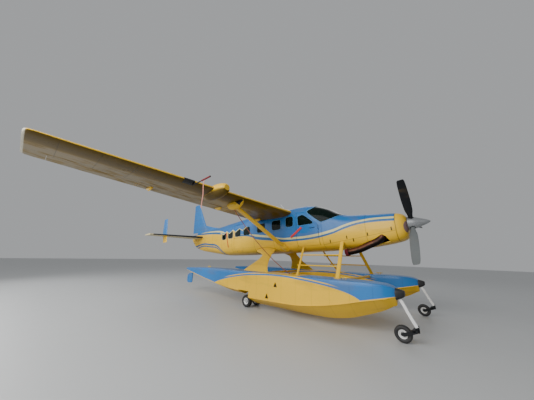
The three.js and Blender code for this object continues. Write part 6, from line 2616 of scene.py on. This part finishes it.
@dataclass
class Cabin(Assembly):
    """What shows through the glass: seats, floor, panel and engine block."""

    def build(self) -> None:
        """Makes the cabin's pieces and paints the solids that stay."""
        f = self.finishes
        for name, finish in (
            ("cabin_floor", f.grey), ("instrument_panel", f.plastic), ("engine_block", f.grey)
        ):
            node = frame["nodes"][name]
            node.data.materials.clear()
            node.data.materials.append(finish)
        places = {
            "crew_seats": [(3.38, -0.39, 0.46), (3.38, 0.39, 0.46)],
            "passenger_seats_right": [(s, -0.47, 0.40) for s in (4.48, 5.27, 6.06)],
            "passenger_seats_left": [(s, y, 0.40) for s in (4.48, 5.27, 6.06) for y in (0.125, 0.525)],
        }
        rails = {
            "crew_seats": (3.5, 3.7, -0.56, 0.56), "passenger_seats_right": (4.56, 6.45, -0.55, -0.39),
            "passenger_seats_left": (4.56, 6.45, 0.18, 0.48),
        }
        for node, seats in places.items():
            legs = Form()
            for i, (s, y, width) in enumerate(seats):
                pad = self.cushion(s, y, width)
                name = f"{node.replace('seats', 'seat')}_pad_{i + 1}"
                made = self.dress(pad, name, f.seat, "seat_cloth", sharp=60)
                soft = made.modifiers.new("soft", "SUBSURF")
                soft.levels = soft.render_levels = 1
                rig.padded(made, fill=0.8)
                a, b = y - width / 2 + 0.115, y + width / 2 - 0.115
                self.block(legs, (s + 0.09, s + 0.38, a, b), -0.515, 0.26)
            self.block(legs, rails[node], -0.5295, 0.02)
            self.dress(legs, f"{node}_frames", f.grey, "grey_metal", replaces=[node], bevel=0.004)

    def block(self, form: Form, sides: Sequence[float], low: float, high: float) -> None:
        """Adds a block, from its front, back, right and left sides, its bottom and its height.

        Args:
            form: what it is added to.
            sides: its front, back, right and left.
            low: its bottom.
            high: its height.
        """
        fore, aft, a, b = sides
        corners = air([(fore, a, low), (aft, a, low), (aft, b, low), (fore, b, low)])
        form.slab(corners, air_vector([0, 0, high]))

    def cushion(self, s: float, y: float, width: float) -> Form:
        """A seat's cushion and back, crowned in the middle and drawn in at the corners.

        Args:
            s: the station of the seat's front.
            y: its middle.
            width: its width.

        Returns:
            The seat, without its legs.
        """
        form = Form()
        half = width / 2
        u = np.linspace(-1, 1, 9)
        for (s0, z0), (s1, z1), thick in (
            ((0.0, -0.205), (0.46, -0.205), 0.10), ((0.44, -0.19), (0.53, 0.47), 0.075)
        ):
            along = np.array([s1 - s0, z1 - z0])
            length = np.linalg.norm(along)
            along = along / length
            up = np.array([-along[1], along[0]])
            rings = []
            for t in np.linspace(0, 1, 12):
                edge = 1 - abs(2 * t - 1) ** 6
                crown = 0.5 * thick * (0.35 + 0.65 * edge ** 0.4)
                ring = []
                for sign in (1, -1):
                    for k in u * sign:
                        lift = crown * (1 - abs(k) ** 5 * 0.75) * sign
                        a = np.array([s0, z0]) + along * t * length + up * lift
                        ring.append((s + a[0], y + k * half * (0.97 + 0.03 * edge), a[1]))
                rings.append(air(ring))
            form.loft(rings)
        return form


@dataclass
class Studio:
    """The camera, the lights and the floor."""

    focal: float = 217.422
    image: float = 534.0
    yaw: float = math.radians(131.961)
    pitch: float = math.radians(14.368)
    roll: float = math.radians(1.531)
    eye: tuple = (0.595, -7.592, 1.751)

    def build(self) -> None:
        """Sets up the studio."""
        level = math.cos(self.pitch)
        forward = Vector((math.cos(self.yaw) * level, math.sin(self.yaw) * level, math.sin(self.pitch)))
        across = Vector((math.sin(self.yaw), -math.cos(self.yaw), 0))
        raised = across.cross(forward)
        right = across * math.cos(self.roll) + raised * math.sin(self.roll)
        up = -across * math.sin(self.roll) + raised * math.cos(self.roll)
        camera = bpy.data.objects.new("camera", bpy.data.cameras.new("camera"))
        camera.data.sensor_width = 36
        camera.data.lens = 36 * self.focal / self.image
        turn = Matrix((right, up, -forward)).transposed().to_4x4()
        camera.matrix_world = Matrix.Translation((NOSE_X + self.eye[0], self.eye[1], self.eye[2])) @ turn
        bpy.context.scene.collection.objects.link(camera)
        bpy.context.scene.camera = camera
        world = bpy.data.worlds.new("studio")
        bpy.context.scene.world = world
        world.use_nodes = True
        world.node_tree.nodes["Background"].inputs["Color"].default_value = (0.86, 0.88, 0.9, 1)
        world.node_tree.nodes["Background"].inputs["Strength"].default_value = 0.45
        for name, place, aim, size, power in (
            ("key", (2, -15, 8), (0, 0, 2), 10, 2600), ("fill", (-9, -9, 7), (-1, 0, 2), 9, 600),
            ("back", (-4, 11, 11), (0, 0, 2), 12, 400),
        ):
            lamp = bpy.data.objects.new(name, bpy.data.lights.new(name, "AREA"))
            lamp.data.size, lamp.data.energy = size, power
            lamp.location = place
            lamp.rotation_euler = (Vector(aim) - Vector(place)).to_track_quat("-Z", "Y").to_euler()
            bpy.context.scene.collection.objects.link(lamp)
        corners = [(-60, -60, -0.002), (60, -60, -0.002), (60, 60, -0.002), (-60, 60, -0.002)]
        floor = Form().add(np.array(corners), [[0, 1, 2, 3]]).piece("floor")
        shader = Shader("floor")
        floor.data.materials.append(shader.finish((0.46, 0.47, 0.47), 0.35 + 0.1 * shader.noise(2)))
        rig.stage(floor)


def main() -> None:
    """Builds the aircraft, sub-assembly by sub-assembly."""
    logging.basicConfig(level=logging.INFO, format="%(name)s %(message)s")
    finishes = Finishes()
    Studio().build()
    for kind in (Fuselage, Exhaust, Wing, Tail, Propeller, Floats, Gear, Details, Cabin):
        kind(finishes).build()
        log.info("%s is built", kind.__name__)
    corners = [[list(c) for c in box] for box in (cad_box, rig.bounds())]
    with open("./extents.json", "w") as file:
        json.dump({"cad": corners[0], "visual": corners[1]}, file)
    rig.finish()


if __name__ == "__main__":
    main()
